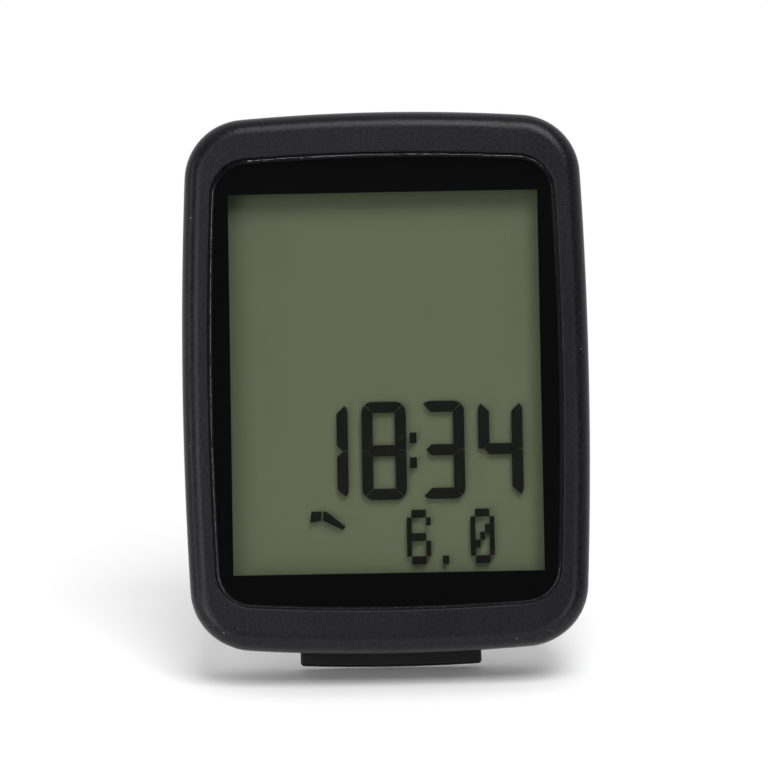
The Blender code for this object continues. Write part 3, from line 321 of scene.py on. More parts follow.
def mirrored(quarter):
    """Whole closed outline from the points of its first quarter."""
    upper = quarter + [(-x, z) for x, z in reversed(quarter[:-1])]
    return upper + [(x, -z) for x, z in reversed(upper[1:-1])]


def bowed_outline(half, side_bow, end_bow, corner, inset):
    """Rectangle with bowed sides and round corners, moved in by the inset."""
    side_radius = bow_radius(half[1], side_bow)
    end_radius = bow_radius(half[0], end_bow)
    side_centre = Vector((half[0] - side_radius, 0.0))
    end_centre = Vector((0.0, half[1] - end_radius))
    between = end_centre - side_centre
    near = side_radius - corner
    far = end_radius - corner
    along = (near ** 2 - far ** 2 + between.length_squared) / (2 * between.length)
    across = math.sqrt(near ** 2 - along ** 2)
    ahead = between.normalized()
    middle = side_centre + ahead * along
    sideways = Vector((ahead.y, -ahead.x)) * across
    corner_centre = max((middle + sideways, middle - sideways), key=sum)
    first = math.atan2(corner_centre.y, corner_centre.x - side_centre.x)
    second = math.atan2(corner_centre.y - end_centre.y, corner_centre.x)
    quarter = arc_points(side_centre, side_radius - inset, 0.0, first, SIDE_STEPS)
    quarter += arc_points(corner_centre, corner - inset, first, second, CORNER_STEPS)[1:]
    quarter += arc_points(end_centre, end_radius - inset, second, math.pi / 2, SIDE_STEPS)[1:]
    return mirrored(quarter)


def rectangle_outline(half_width, half_height):
    """Rectangle with as many points as a bowed outline, and one on each corner."""
    steps = SIDE_STEPS + CORNER_STEPS // 2
    quarter = [(half_width, half_height * step / steps) for step in range(steps + 1)]
    quarter += [(half_width * (steps - step) / steps, half_height) for step in range(1, steps + 1)]
    return mirrored(quarter)


def circle_outline(radius, angles):
    """Points of a circle at those angles."""
    return [(radius * math.cos(angle), radius * math.sin(angle)) for angle in angles]


def even_angles(count):
    """Angles of evenly spaced points round a circle."""
    return [2 * math.pi * number / count for number in range(count)]


def ring(outline, depth):
    """Outline in the plane as points at that depth."""
    return [(x, -depth, z) for x, z in outline]


def round_edge(start, end, steps, inset_first=False):
    """Insets and depths through a quarter round, where the depth moves first unless told otherwise."""
    pairs = []
    for step in range(steps + 1):
        angle = math.pi / 2 * step / steps
        shares = (math.sin(angle), 1 - math.cos(angle))
        if not inset_first:
            shares = shares[::-1]
        pairs.append(tuple(near + (far - near) * share for near, far, share in zip(start, end, shares)))
    return pairs


def round_rings(angles, steps):
    """Round rings from radii and depths, with points at those angles."""
    return [ring(circle_outline(radius, angles), depth) for radius, depth in steps]


# Modelling
def deselect_all():
    """Nothing selected, in object mode."""
    bpy.ops.object.select_all(action="DESELECT")


def select_only(piece):
    """This piece alone selected and active."""
    deselect_all()
    piece.select_set(True)
    bpy.context.view_layer.objects.active = piece


def loft(name, rings, capped=True):
    """New piece drawn ring by ring, with end faces, or with its last ring joined to its first."""
    deselect_all()
    bpy.ops.mesh.primitive_circle_add(vertices=len(rings[0]), fill_type="NOTHING")
    piece = bpy.context.object
    piece.name = name
    piece.data.name = name
    bpy.ops.object.mode_set(mode="EDIT")
    shape = bmesh.from_edit_mesh(piece.data)
    order = shape.verts.layers.int.new("order")
    for vertex in shape.verts:
        vertex[order] = vertex.index
        vertex.co = rings[0][vertex.index]
    bmesh.update_edit_mesh(piece.data)
    if capped:
        bpy.ops.mesh.edge_face_add()
    for points in rings[1:]:
        bpy.ops.mesh.extrude_edges_move()
        shape = bmesh.from_edit_mesh(piece.data)
        order = shape.verts.layers.int["order"]
        for vertex in shape.verts:
            if vertex.select:
                vertex.co = points[vertex[order]]
        bmesh.update_edit_mesh(piece.data)
    if capped:
        bpy.ops.mesh.edge_face_add()
    bpy.ops.mesh.select_all(action="SELECT")
    bpy.ops.mesh.remove_doubles(threshold=MERGE_DISTANCE)
    bpy.ops.mesh.normals_make_consistent(inside=False)
    bpy.ops.object.mode_set(mode="OBJECT")
    piece.data.attributes.remove(piece.data.attributes["order"])
    return piece


def combine(piece, other, operation):
    """Joins the other solid to the piece, or takes it away, and deletes it."""
    select_only(piece)
    bpy.ops.object.modifier_add(type="BOOLEAN")
    change = piece.modifiers[-1]
    change.operation = operation
    change.solver = "EXACT"
    change.object = other
    bpy.ops.object.modifier_apply(modifier=change.name)
    bpy.data.objects.remove(other)


def drum(name, centre, radius, near, far):
    """Round solid that stands along the depth, from near to far."""
    circle = circle_outline(radius, even_angles(TURN_POINTS // 2))
    outline = [(x + centre[0], z + centre[1]) for x, z in circle]
    return loft(name, [ring(outline, near), ring(outline, far)])


def block(name, low, high):
    """Plain box between two corners."""
    deselect_all()
    bpy.ops.mesh.primitive_cube_add(size=1.0)
    piece = bpy.context.object
    piece.name = name
    size = Vector(high) - Vector(low)
    middle = (Vector(high) + Vector(low)) / 2
    bpy.ops.object.mode_set(mode="EDIT")
    bpy.ops.transform.resize(value=size)
    bpy.ops.transform.translate(value=middle)
    bpy.ops.object.mode_set(mode="OBJECT")
    return piece


def join_pieces(name, pieces):
    """One piece made of several."""
    deselect_all()
    for piece in pieces:
        piece.select_set(True)
    bpy.context.view_layer.objects.active = pieces[0]
    bpy.ops.object.join()
    pieces[0].name = name
    pieces[0].data.name = name
    return pieces[0]


def finish_piece(piece, body, slot, material, *nodes):
    """Smooths, paints and mounts a piece that stands for these nodes."""
    select_only(piece)
    bpy.ops.object.shade_smooth_by_angle(angle=SMOOTH_ANGLE)
    piece.data.materials.clear()
    piece.data.materials.append(material)
    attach(piece, body)
    if nodes:
        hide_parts(*nodes)


# Materials
def add_node(tree, kind):
    """New shader node of that kind."""
    return tree.nodes.new("ShaderNode" + kind)


def new_material(name):
    """Empty node material with its node tree and output."""
    material = bpy.data.materials.new(name)
    material.use_nodes = True
    tree = material.node_tree
    tree.nodes.clear()
    output = add_node(tree, "OutputMaterial")
    return material, tree, output


def own_space(tree):
    """Places in the object's own space."""
    return add_node(tree, "TexCoord").outputs["Object"]


def calculate(tree, operation, first, second):
    """Result of one step of arithmetic on two values."""
    node = add_node(tree, "Math")
    node.operation = operation
    tree.links.new(first, node.inputs[0])
    tree.links.new(second, node.inputs[1])
    return node.outputs["Value"]


def mix_shaders(tree, factor, first, second):
    """Shader that runs from the first to the second with a factor."""
    node = add_node(tree, "MixShader")
    tree.links.new(factor, node.inputs["Fac"])
    tree.links.new(first.outputs[0], node.inputs[1])
    tree.links.new(second.outputs[0], node.inputs[2])
    return node.outputs["Shader"]


def noise(tree, scale, detail):
    """Noise in the object's own space."""
    texture = add_node(tree, "TexNoise")
    texture.inputs["Scale"].default_value = scale
    texture.inputs["Detail"].default_value = detail
    tree.links.new(own_space(tree), texture.inputs["Vector"])
    return texture.outputs["Fac"]


def spread(tree, factor, low, high, start=0.3, end=0.7):
    """Value that runs from low to high with a factor."""
    node = add_node(tree, "MapRange")
    node.inputs["From Min"].default_value = start
    node.inputs["From Max"].default_value = end
    node.inputs["To Min"].default_value = low
    node.inputs["To Max"].default_value = high
    tree.links.new(factor, node.inputs["Value"])
    return node.outputs["Result"]


def specks(tree, pitch, size, share):
    """Factor that is one in small scattered specks."""
    cells = add_node(tree, "TexVoronoi")
    cells.inputs["Scale"].default_value = 1.0 / pitch
    tree.links.new(own_space(tree), cells.inputs["Vector"])
    near = spread(tree, cells.outputs["Distance"], 1.0, 0.0, size / pitch / 2, size / pitch)
    chosen = spread(tree, cells.outputs["Color"], 0.0, 1.0, 1.0 - share, 1.0 + DUST_BLUR - share)
    return calculate(tree, "MULTIPLY", near, chosen)


def blend_colours(tree, factor, first, second):
    """Colour that runs from the first, which may come from a node, to the second with a factor."""
    node = add_node(tree, "Mix")
    node.data_type = "RGBA"
    if isinstance(first, bpy.types.NodeSocket):
        tree.links.new(first, node.inputs["A"])
    else:
        node.inputs["A"].default_value = (*first, 1.0)
    node.inputs["B"].default_value = (*second, 1.0)
    tree.links.new(factor, node.inputs["Factor"])
    return node.outputs["Result"]


def scaled(tint, share):
    """Colour made lighter or darker."""
    return tuple(min(1.0, part * share) for part in tint)


def solid_material(name, tint, roughness, grain, relief, mottle=0.15, metallic=0.0, gloss=0.5, dust=None):
    """Opaque material with a fine grain in colour and relief, uneven gloss and, where asked, dust."""
    material, tree, output = new_material(name)
    shader = add_node(tree, "BsdfPrincipled")
    shader.inputs["Metallic"].default_value = metallic
    shader.inputs["Specular IOR Level"].default_value = gloss
    fine = noise(tree, 1.0 / grain, GRAIN_DETAIL)
    tone = spread(tree, fine, 0.0, 1.0)
    mixed = blend_colours(tree, tone, scaled(tint, 1 - mottle), scaled(tint, 1 + mottle))
    if dust:
        mixed = blend_colours(tree, specks(tree, DUST_PITCH, DUST_SIZE, DUST_SHARE), mixed, dust)
    tree.links.new(mixed, shader.inputs["Base Color"])
    cloud = noise(tree, CLOUD_SCALE, GRAIN_DETAIL)
    dull = spread(tree, cloud, roughness * (1 - GLOSS_CHANGE), min(1.0, roughness * (1 + GLOSS_CHANGE)))
    tree.links.new(dull, shader.inputs["Roughness"])
    bump = add_node(tree, "Bump")
    bump.inputs["Strength"].default_value = 1.0
    bump.inputs["Distance"].default_value = relief
    tree.links.new(fine, bump.inputs["Height"])
    tree.links.new(bump.outputs["Normal"], shader.inputs["Normal"])
    tree.links.new(shader.outputs["BSDF"], output.inputs["Surface"])
    return material


def finish_case(piece, body, node, name, tint, dust=None):
    """Finishes a piece in black moulded plastic with a fine pebbled grain."""
    material = solid_material(
        name, tint, roughness=0.3, grain=0.00035, relief=0.00003, mottle=0.45, gloss=0.2, dust=dust)
    finish_piece(piece, body, "shell_black", material, node)


def clear_material(name, tint, index, roughness):
    """Clear sheet that lets light through and reflects as its index says."""
    material, tree, output = new_material(name)
    through = add_node(tree, "BsdfTransparent")
    cloud = noise(tree, CLOUD_SCALE, CLEAR_DETAIL)
    tone = spread(tree, cloud, 0.0, 1.0)
    stain = blend_colours(tree, tone, scaled(tint, 1 - CLEAR_CHANGE), tint)
    tree.links.new(stain, through.inputs["Color"])
    shine = add_node(tree, "BsdfGlossy")
    shine.inputs["Roughness"].default_value = roughness
    sides = add_node(tree, "NewGeometry")
    share = add_node(tree, "Fresnel")
    either_side = spread(tree, sides.outputs["Backfacing"], index, 1.0 / index, 0.0, 1.0)
    tree.links.new(either_side, share.inputs["IOR"])
    mixed = mix_shaders(tree, share.outputs["Fac"], through, shine)
    tree.links.new(mixed, output.inputs["Surface"])
    return material


def seen_rays(tree):
    """Factor that is one for what the camera sees, straight or in a gloss or a clear sheet."""
    path = add_node(tree, "LightPath")
    factor = path.outputs["Is Camera Ray"]
    for kind in ("Is Glossy Ray", "Is Transmission Ray"):
        factor = calculate(tree, "MAXIMUM", factor, path.outputs[kind])
    return factor


def paint_nodes(material, *nodes):
    """Gives CAD nodes a material."""
    for node in nodes:
        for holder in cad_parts[node].material_slots:
            holder.material = material


# Pieces
def body_outline(case, inset):
    """Outline of the case, moved in by the inset."""
    return bowed_outline(BODY_HALF, case.side_bow, case.end_bow, case.corner, inset)


def window_outline(window, inset):
    """Outline of the window, moved in by the inset."""
    return bowed_outline(LENS_HALF, window.side_bow, window.end_bow, window.corner, inset)


def body_rings(case, steps):
    """Rings of the case from insets and depths."""
    return [ring(body_outline(case, inset), depth) for inset, depth in steps]


def window_rings(window, steps):
    """Rings of the window from insets and depths."""
    return [ring(window_outline(window, inset), depth) for inset, depth in steps]


class CYCLING_OT_front_case(bpy.types.Operator):
    """Builds the front half of the case, with the ledge that holds the window"""
    bl_idname = "cycling.front_case"
    bl_label = "Front case"

    def execute(self, context):
        case = context.scene.cycling_case
        window = context.scene.cycling_window
        rounding = case.front_rounding
        steps = [
            (case.parting_chamfer, PARTING),
            (0.0, PARTING + case.parting_chamfer),
            (0.0, FACE - rounding - SUPPORT),
        ]
        steps += round_edge((0.0, FACE - rounding), (rounding, FACE), ROUND_STEPS)
        steps.append((rounding + SUPPORT, FACE))
        rings = body_rings(case, steps)
        opening = -window.gap
        lip_edge = opening - case.lip
        ledge_depth = MASK_REAR - case.parting_gap
        ledge_rear = ledge_depth - case.ledge / 2
        steps = [(lip_edge - SUPPORT, FACE)]
        steps += round_edge((lip_edge, FACE), (opening, FACE - case.lip), EDGE_STEPS, inset_first=True)
        steps += [(opening, ledge_depth), (case.ledge, ledge_depth), (case.ledge, ledge_rear)]
        rings += window_rings(window, steps)
        rings += body_rings(case, [(case.wall, ledge_rear), (case.wall, PARTING)])
        rings.append(rings[0])
        piece = loft("case_front", rings, capped=False)
        finish = context.scene.cycling_finish
        finish_case(piece, "housing", "front_housing", "case_black", finish.case, finish.dust)
        return {"FINISHED"}


class CYCLING_OT_back_case(bpy.types.Operator):
    """Builds the back half of the case, with its twist foot, battery well and screw sinks"""
    bl_idname = "cycling.back_case"
    bl_label = "Back case"

    def execute(self, context):
        case = context.scene.cycling_case
        foot = context.scene.cycling_foot
        cover = context.scene.cycling_cover
        bar = context.scene.cycling_bar
        step = case.rear_step
        back = case.back_face
        rounding = case.back_rounding
        rim = PARTING - case.parting_gap
        inside = back + case.floor
        angles = [math.atan2(z, x) for x, z in body_outline(case, step + rounding + SUPPORT)]
        fillet_radius = foot.foot_radius + foot.fillet
        steps = [
            (foot.well_radius, foot.well_floor),
            (foot.well_radius, foot.recess_floor),
            (foot.recess_radius, foot.recess_floor),
            (foot.recess_radius, foot.edge),
            (foot.recess_radius + foot.edge, 0.0),
            (foot.foot_radius - foot.edge, 0.0),
            (foot.foot_radius, foot.edge),
            (foot.foot_radius, back - foot.fillet - SUPPORT),
        ]
        steps += round_edge((foot.foot_radius, back - foot.fillet), (fillet_radius, back), EDGE_STEPS)
        steps.append((fillet_radius + SUPPORT, back))
        rings = round_rings(angles, steps)
        steps = [(step + rounding + SUPPORT, back)]
        steps += round_edge((step + rounding, back), (step, back + rounding), ROUND_STEPS, inset_first=True)
        steps += [
            (step, back + rounding + SUPPORT),
            (step, rim - case.parting_chamfer),
            (step + case.parting_chamfer, rim),
            (step + case.wall, rim),
            (step + case.wall, inside + rounding / 2),
            (step + case.wall + rounding / 2, inside),
        ]
        rings += body_rings(case, steps)
        well_top = foot.well_floor + foot.well_wall
        rings += round_rings(angles, [(foot.well_outer, inside), (foot.well_outer, well_top)])
        piece = loft("case_back", rings)
        for side in (0.0, math.pi):
            first = side - foot.lug_angle / 2
            last = side + foot.lug_angle / 2
            outer = arc_points((0, 0), foot.lug_radius, first, last, ROUND_STEPS * 3)
            inner = arc_points((0, 0), foot.foot_radius - case.wall / 2, last, first, ROUND_STEPS)
            outline = outer + inner
            lug = loft("lug", [ring(outline, foot.edge), ring(outline, foot.edge + foot.lug_height)])
            combine(piece, lug, "UNION")
        for node in SCREW_NODES:
            low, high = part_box(node)
            centre = ((low[0] + high[0]) / 2, (low[2] + high[2]) / 2)
            top = cover.sink_floor + cover.sink_wall
            well = drum("well", centre, cover.sink_radius + cover.sink_wall, inside - case.floor / 2, top)
            combine(piece, well, "UNION")
            sink = drum("sink", centre, cover.sink_radius, 0.0, cover.sink_floor)
            combine(piece, sink, "DIFFERENCE")
        reach = bar.width / 2 + bar.play
        slot = block("slot", (-reach, -BAR_FRONT - bar.play, BAR_BOTTOM - case.wall),
                     (reach, -BAR_REAR + bar.play, -BODY_HALF[1] + 2 * case.wall))
        combine(piece, slot, "DIFFERENCE")
        tint = context.scene.cycling_finish.case
        finish_case(piece, "housing", "rear_housing", "case_black_rear", tint)
        return {"FINISHED"}


class CYCLING_OT_battery_cover(bpy.types.Operator):
    """Builds the turning battery cover with its coin slot"""
    bl_idname = "cycling.battery_cover"
    bl_label = "Battery cover"

    def execute(self, context):
        cover = context.scene.cycling_cover
        plate = COVER_REAR + cover.plate
        steps = [
            (COVER_RADIUS - cover.edge, COVER_REAR),
            (COVER_RADIUS, COVER_REAR + cover.edge),
            (COVER_RADIUS, plate),
            (cover.skirt_outer, plate),
            (cover.skirt_outer, COVER_FRONT),
            (cover.skirt_inner, COVER_FRONT),
            (cover.skirt_inner, plate),
        ]
        piece = loft("battery_lid", round_rings(even_angles(TURN_POINTS), steps))
        deselect_all()
        middle = COVER_REAR + cover.slot_depth - cover.coin_radius
        bpy.ops.mesh.primitive_cylinder_add(
            vertices=TURN_POINTS * 2, radius=cover.coin_radius, depth=cover.slot_width,
            location=(0.0, -middle, 0.0))
        combine(piece, bpy.context.object, "DIFFERENCE")
        finish_case(piece, "cover", "battery_cover", "cover_black", context.scene.cycling_finish.case)
        return {"FINISHED"}


class CYCLING_OT_operating_bar(bpy.types.Operator):
    """Builds the bar at the lower end that is pressed to work the computer"""
    bl_idname = "cycling.operating_bar"
    bl_label = "Operating bar"

    def outline(self, context, inset):
        """Outline of the bar: a straight inner edge, and an outer edge that follows the case."""
        case = context.scene.cycling_case
        bar = context.scene.cycling_bar
        half = bar.width / 2 - inset
        end_radius = bow_radius(BODY_HALF[0], case.end_bow)
        centre = (0.0, end_radius - BODY_HALF[1])
        outer = end_radius + bar.proud - inset
        corner = max(bar.corner - inset, SUPPORT)
        tilt = math.asin((half - corner) / (outer - corner))
        corner_place = (half - corner, centre[1] - (outer - corner) * math.cos(tilt))
        right = arc_points(corner_place, corner, 0.0, tilt - math.pi / 2, ROUND_STEPS)
        lower = arc_points(centre, outer, tilt - math.pi / 2, -tilt - math.pi / 2, SIDE_STEPS)[1:-1]
        left = [(-x, z) for x, z in reversed(right)]
        return [(half, -bar.inner)] + right + lower + left + [(-half, -bar.inner)]

    def execute(self, context):
        bar = context.scene.cycling_bar
        rounding = bar.rounding
        steps = [(rounding + SUPPORT, BAR_REAR)]
        steps += round_edge((rounding, BAR_REAR), (0.0, BAR_REAR + rounding), EDGE_STEPS, inset_first=True)
        steps += round_edge((0.0, BAR_FRONT - rounding), (rounding, BAR_FRONT), EDGE_STEPS)
        steps.append((rounding + SUPPORT, BAR_FRONT))
        rings = [ring(self.outline(context, inset), depth) for inset, depth in steps]
        piece = loft("operating_bar", rings)
        finish = context.scene.cycling_finish
        material = solid_material(
            "bar_satin", finish.bar, roughness=0.42, grain=0.0002, relief=0.000006, gloss=0.25)
        finish_piece(piece, "button", "bar_black", material, "mode_button")
        return {"FINISHED"}


class CYCLING_OT_window(bpy.types.Operator):
    """Builds the clear window and the black border printed behind it"""
    bl_idname = "cycling.window"
    bl_label = "Window"

    def execute(self, context):
        window = context.scene.cycling_window
        finish = context.scene.cycling_finish
        steps = [(0.0, LENS_REAR)]
        steps += round_edge((0.0, LENS_FRONT - window.edge), (window.edge, LENS_FRONT), EDGE_STEPS)
        steps.append((window.edge + SUPPORT, LENS_FRONT))
        pane = loft("window_pane", window_rings(window, steps))
        clear = clear_material("window_clear", (0.985, 0.99, 0.985), index=1.49, roughness=0.04)
        finish_piece(pane, "housing", "lens_clear", clear, "display_lens")
        outer = window_outline(window, window.mask_inset)
        opening = rectangle_outline(window.view_width, window.view_height)
        inner = [(x, z - window.view_drop) for x, z in opening]
        rings = [
            ring(outer, MASK_FRONT),
            ring(inner, MASK_FRONT),
            ring(inner, MASK_REAR),
            ring(outer, MASK_REAR),
        ]
        rings.append(rings[0])
        border = loft("window_border", rings, capped=False)
        black = solid_material(
            "border_black", finish.border, roughness=0.5, grain=0.0004, relief=0.000001, gloss=0.02)
        finish_piece(border, "housing", "mask_black", black, "lens_mask")
        return {"FINISHED"}


# Which of the seven segments each numeral lights, and the dots of the small numerals
SEGMENTS = {"1": "bc", "3": "abcdg", "4": "bcfg", "8": "abcdefg"}
DOTS = {
    "6": (" ### ", "#   #", "#    ", "#### ", "#   #", "#   #", " ### "),
    "0": (" ### ", "#   #", "#  ##", "# # #", "##  #", "#   #", " ### "),
}
DOT_ROWS = len(DOTS["0"])
DOT_COLUMNS = len(DOTS["0"][0])
# Corners of a dot, in half sizes, and of the marker, in half heights of its block
DOT_CORNERS = ((-1, -1), (1, -1), (1, 1), (-1, 1))
MARKER_BLOCK = ((-0.9, 1.0), (1.05, 1.0), (0.85, -0.75), (-1.2, -1.1))
MARKER_STROKE = ((1.3, 1.0), (1.9, 0.95), (5.4, -1.9), (4.8, -2.5), (1.2, -0.7))


def segment_outline(letter, sizes):
    """Outline of one of the seven segments of a numeral, with its mitred ends."""
    stroke = sizes.stroke
    gap = sizes.gap
    side = sizes.width / 2 - stroke
    rise = sizes.height / 2 - stroke
    slack = gap / stroke
    if letter in "ad":
        half = [(side - gap, rise)]
        half += arc_points((side, rise), stroke, math.pi / 4 + slack, math.pi / 2, ROUND_STEPS)
        outline = half + [(-x, z) for x, z in reversed(half)]
    elif letter == "g":
        half = [(side, -stroke / 2), (side + stroke / 2 - gap, 0.0), (side, stroke / 2)]
        outline = half + [(-x, z) for x, z in reversed(half)]
    else:
        outline = arc_points((side, rise), stroke, 0.0, math.pi / 4 - slack, ROUND_STEPS)
        outline += [(side, rise - gap), (side, stroke / 2 + gap)]
        outline += [(side + stroke / 2, gap), (side + stroke, gap)]
    across = -1 if letter in "ef" else 1
    up = -1 if letter in "cde" else 1
    return [(x * across, z * up) for x, z in outline]


class CYCLING_OT_display(bpy.types.Operator):
    """Builds what the display shows, and paints the layers of the display"""
    bl_idname = "cycling.display"
    bl_label = "Display"

    def flat_shape(self, outline):
        """Thin solid of that outline, between the two sheets of the display."""
        margin = (NUMERAL_FRONT - NUMERAL_REAR) * NUMERAL_MARGIN
        rear = ring(outline, NUMERAL_REAR + margin)
        front = ring(outline, NUMERAL_FRONT - margin)
        return loft("shape", [rear, front])

    def patch(self, corners, across, up, half_width, half_height):
        """Thin solid with those corners round its middle."""
        return self.flat_shape([(across + x * half_width, up + z * half_height) for x, z in corners])

    def dot(self, across, up, width, height):
        """Small upright block of the display."""
        return self.patch(DOT_CORNERS, across, up, width / 2, height / 2)

    def place_copy(self, piece, across, up):
        """Copy of a piece with its own mesh, moved to its place."""
        copy = piece.copy()
        copy.data = piece.data.copy()
        bpy.context.collection.objects.link(copy)
        copy.data.transform(Matrix.Translation((across, 0.0, up)))
        return copy

    def large_row(self, sizes):
        """Pieces of the large numerals and the colon between them."""
        segments = {letter: self.flat_shape(segment_outline(letter, sizes)) for letter in "abcdefg"}
        pieces = []
        centre = sizes.first
        for sign in sizes.large_text:
            if sign == ":":
                for up in (sizes.colon_rise, -sizes.colon_rise):
                    pieces.append(self.dot(centre - sizes.pitch / 2, sizes.row + up,
                                           sizes.colon_width, sizes.colon_height))
                continue
            for letter in SEGMENTS[sign]:
                pieces.append(self.place_copy(segments[letter], centre, sizes.row))
            centre += sizes.pitch
        for piece in segments.values():
            bpy.data.objects.remove(piece)
        return pieces

    def small_row(self, sizes):
        """Pieces of the small numerals, made of dots."""
        wide = sizes.dot_width * sizes.dot_share
        high = sizes.dot_height * sizes.dot_share
        first = self.dot(0.0, 0.0, wide, high)
        middle_column = DOT_COLUMNS // 2
        middle_row = DOT_ROWS // 2
        pieces = []
        centre = sizes.small_first
        for sign in sizes.small_text:
            if sign == ".":
                lowest = sizes.small_row - middle_row * sizes.dot_height
                pieces.append(self.dot(centre - sizes.point_back, lowest,
                                       sizes.point_width, sizes.point_height))
                continue
            for line, row in enumerate(DOTS[sign]):
                for column, mark in enumerate(row):
                    if mark == "#":
                        across = centre + (column - middle_column) * sizes.dot_width
                        up = sizes.small_row + (middle_row - line) * sizes.dot_height
                        pieces.append(self.place_copy(first, across, up))
            centre += sizes.small_pitch
        bpy.data.objects.remove(first)
        return pieces

    def marker(self, sizes):
        """Pieces of the small marker: a leaning block, and a stroke that runs down from it."""
        half = sizes.marker_half
        return [self.patch(corners, sizes.marker_across, sizes.marker_up, half, half)
                for corners in (MARKER_BLOCK, MARKER_STROKE)]

    def execute(self, context):
        finish = context.scene.cycling_finish
        sizes = context.scene.cycling_numeral
        ink = solid_material(
            "numeral_black", finish.numeral, roughness=0.5, grain=0.0003, relief=0.000001, gloss=0.1)
        large = join_pieces("large_numerals", self.large_row(sizes))
        finish_piece(large, "housing", "film_grey", ink)
        small = join_pieces("small_numerals", self.small_row(sizes) + self.marker(sizes))
        finish_piece(small, "housing", "film_grey", ink)
        film = solid_material(
            "reflector_film", finish.display, roughness=0.55, grain=0.0003, relief=0.000002, mottle=0.03)
        paint_nodes(film, "lcd_reflector")
        glass = clear_material("cell_clear", (0.99, 0.995, 0.985), index=1.01, roughness=0.05)
        paint_nodes(glass, "lcd_front_glass", "lcd_rear_glass", "lcd_polarizer")
        context.scene.cycles.transparent_max_bounces = CLEAR_BOUNCES
        return {"FINISHED"}


class CYCLING_OT_inner_parts(bpy.types.Operator):
    """Paints the pieces inside the case, the seals and the screws"""
    bl_idname = "cycling.inner_parts"
    bl_label = "Inner parts"

    def metal(self, name, tint, roughness):
        """Plain bright metal."""
        return solid_material(
            name, tint, roughness, grain=0.0002, relief=0.000002, mottle=0.05, metallic=1.0)

    def execute(self, context):
        rubber = solid_material(
            "seal_black", (0.03, 0.03, 0.032), roughness=0.7, grain=0.0002, relief=0.000006)
        paint_nodes(rubber, "button_seal", "cover_seal", "housing_gasket")
        steel = self.metal("plated_steel", (0.55, 0.55, 0.56), roughness=0.3)
        paint_nodes(steel, "coin_cell", "clock_crystal", *SCREW_NODES)
        brass = self.metal("spring_strip", (0.7, 0.6, 0.38), roughness=0.32)
        paint_nodes(brass, "negative_contact", "positive_contact")
        plain = {
            "circuit_board": ("board_green", (0.025, 0.14, 0.06), 0.35, 0.0005),
            "controller_chip": ("chip_black", (0.012, 0.012, 0.013), 0.45, 0.0002),
            "lcd_tray": ("tray_grey", (0.06, 0.06, 0.062), 0.5, 0.0003),
            "zebra_strip": ("strip_grey", (0.3, 0.29, 0.28), 0.7, 0.0002),
            "mode_switch": ("switch_black", (0.04, 0.04, 0.043), 0.5, 0.0002),
            "switch_plunger": ("plunger_white", (0.66, 0.66, 0.64), 0.5, 0.0002),
            "receiver_core": ("ferrite_grey", (0.09, 0.09, 0.1), 0.6, 0.0002),
        }
        for node, (name, tint, roughness, grain) in plain.items():
            paint_nodes(solid_material(name, tint, roughness, grain, relief=0.000005, mottle=0.08), node)
        copper = solid_material("wire_copper", (0.55, 0.24, 0.1), roughness=0.35, grain=0.0001,
                                relief=0.00001, mottle=0.1, metallic=1.0)
        paint_nodes(copper, "receiver_winding")
        return {"FINISHED"}


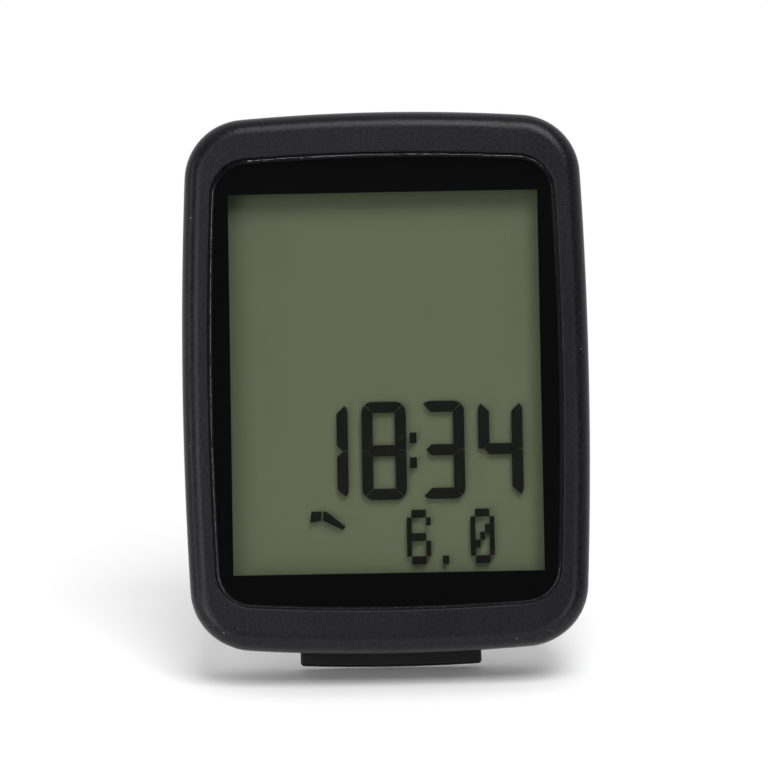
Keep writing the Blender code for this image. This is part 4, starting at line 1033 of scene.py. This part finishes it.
class CYCLING_OT_stage(bpy.types.Operator):
    """Sets the floor, the lamps, the world and the camera"""
    bl_idname = "cycling.stage"
    bl_label = "Stage"

    def lamp(self, stage, name, target):
        """Soft lamp of that name that looks at the target."""
        spot = getattr(stage, name + "_place")
        deselect_all()
        bpy.ops.object.light_add(type="AREA", location=spot)
        lamp = bpy.context.object
        lamp.name = name + "_lamp"
        lamp.data.shape = "RECTANGLE"
        lamp.data.size, lamp.data.size_y = getattr(stage, name + "_size")
        lamp.data.energy = getattr(stage, name + "_power")
        lamp.rotation_euler = (Vector(spot) - target).to_track_quat("Z", "Y").to_euler()

    def floor(self, stage):
        """White floor that the leaning object stands on, which fades into the white around it."""
        foot = Vector((0.0, -BAR_REAR, BAR_BOTTOM))
        deselect_all()
        bpy.ops.mesh.primitive_plane_add(size=2 * stage.floor_size)
        floor = bpy.context.object
        floor.name = "floor"
        bpy.ops.object.mode_set(mode="EDIT")
        bpy.ops.mesh.subdivide(number_cuts=FLOOR_CUTS)
        bpy.ops.object.mode_set(mode="OBJECT")
        floor.data.transform(Matrix.Translation(foot) @ Matrix.Rotation(stage.lean, 4, "X"))
        material, tree, output = new_material("floor_white")
        matt = add_node(tree, "BsdfDiffuse")
        seen = seen_rays(tree)
        pale = spread(tree, seen, stage.floor_grey, stage.floor_white, 0.0, 1.0)
        tree.links.new(pale, matt.inputs["Color"])
        lift = add_node(tree, "Emission")
        tree.links.new(spread(tree, seen, 0.0, stage.floor_lift, 0.0, 1.0), lift.inputs["Strength"])
        both = add_node(tree, "AddShader")
        tree.links.new(matt.outputs["BSDF"], both.inputs[0])
        tree.links.new(lift.outputs["Emission"], both.inputs[1])
        clear = add_node(tree, "BsdfTransparent")
        sides = add_node(tree, "NewGeometry")
        reach = add_node(tree, "VectorMath")
        reach.operation = "DISTANCE"
        reach.inputs[1].default_value = foot
        tree.links.new(own_space(tree), reach.inputs[0])
        fade = spread(tree, reach.outputs["Value"], 0.0, 1.0, stage.fade_start, stage.fade_end)
        unseen = calculate(tree, "MAXIMUM", sides.outputs["Backfacing"], fade)
        tree.links.new(mix_shaders(tree, unseen, both, clear), output.inputs["Surface"])
        floor.data.materials.append(material)

    def world(self, scene, stage):
        """White behind the object and straight to the camera, and dark on the camera's side."""
        world = bpy.data.worlds.new("white_studio")
        world.use_nodes = True
        tree = world.node_tree
        tree.nodes.clear()
        output = add_node(tree, "OutputWorld")
        back = add_node(tree, "Background")
        direction = add_node(tree, "TexCoord")
        axes = add_node(tree, "SeparateXYZ")
        tree.links.new(direction.outputs["Generated"], axes.inputs["Vector"])
        level = spread(tree, axes.outputs["Y"], stage.near_world, stage.far_world,
                       stage.world_start, stage.world_end)
        path = add_node(tree, "LightPath")
        strength = calculate(tree, "MAXIMUM", level, path.outputs["Is Camera Ray"])
        tree.links.new(strength, back.inputs["Strength"])
        tree.links.new(back.outputs["Background"], output.inputs["Surface"])
        back.inputs["Color"].default_value = (1.0, 1.0, 1.0, 1.0)
        scene.world = world

    def camera(self, scene, stage, target):
        """Camera in front of the window, a little below its middle."""
        level = Euler((math.pi / 2 - stage.camera_elevation, 0.0, stage.camera_azimuth))
        view = level.to_matrix() @ Matrix.Rotation(-stage.camera_roll, 3, "Z")
        deselect_all()
        bpy.ops.object.camera_add(location=target + view.col[2] * stage.camera_distance)
        camera = bpy.context.object
        camera.name = "camera"
        camera.rotation_euler = view.to_euler()
        camera.data.sensor_width = SENSOR_WIDTH
        camera.data.lens = stage.camera_lens
        camera.data.shift_x = stage.shift_x
        camera.data.shift_y = stage.shift_y
        camera.data.clip_start = CLIP_START
        scene.camera = camera

    def execute(self, context):
        scene = context.scene
        stage = scene.cycling_stage
        target = Vector((0.0, -FACE / 2, 0.0))
        self.floor(stage)
        self.world(scene, stage)
        for name in LAMPS:
            self.lamp(stage, name, target)
        self.camera(scene, stage, target)
        scene.view_settings.view_transform = "Standard"
        return {"FINISHED"}


class CYCLING_PT_panel(bpy.types.Panel):
    """Panel that lists the builders of the pieces and the stage"""
    bl_idname = "CYCLING_PT_panel"
    bl_label = "Cycling computer"
    bl_space_type = "VIEW_3D"
    bl_region_type = "UI"
    bl_category = "Cycling computer"

    def draw(self, context):
        for operator in OPERATORS:
            self.layout.operator(operator.bl_idname)


OPERATORS = (
    CYCLING_OT_front_case,
    CYCLING_OT_back_case,
    CYCLING_OT_battery_cover,
    CYCLING_OT_operating_bar,
    CYCLING_OT_window,
    CYCLING_OT_display,
    CYCLING_OT_inner_parts,
    CYCLING_OT_stage,
)
SETTINGS = {
    "cycling_case": CaseSizes,
    "cycling_foot": FootSizes,
    "cycling_cover": CoverSizes,
    "cycling_bar": BarSizes,
    "cycling_window": WindowSizes,
    "cycling_numeral": NumeralSizes,
    "cycling_finish": Finishes,
    "cycling_stage": StageSettings,
}


def register():
    """Registers the settings, the operators and the panel."""
    for name, group in SETTINGS.items():
        bpy.utils.register_class(group)
        setattr(bpy.types.Scene, name, bpy.props.PointerProperty(type=group))
    for operator in OPERATORS:
        bpy.utils.register_class(operator)
    bpy.utils.register_class(CYCLING_PT_panel)


def unregister():
    """Takes the panel, the operators and the settings away again."""
    bpy.utils.unregister_class(CYCLING_PT_panel)
    for operator in reversed(OPERATORS):
        bpy.utils.unregister_class(operator)
    for name, group in reversed(SETTINGS.items()):
        delattr(bpy.types.Scene, name)
        bpy.utils.unregister_class(group)


def main():
    """Builds every piece and the stage."""
    register()
    bpy.ops.cycling.front_case()
    bpy.ops.cycling.back_case()
    bpy.ops.cycling.battery_cover()
    bpy.ops.cycling.operating_bar()
    bpy.ops.cycling.window()
    bpy.ops.cycling.display()
    bpy.ops.cycling.inner_parts()
    bpy.ops.cycling.stage()


if __name__ == "__main__":
    main()
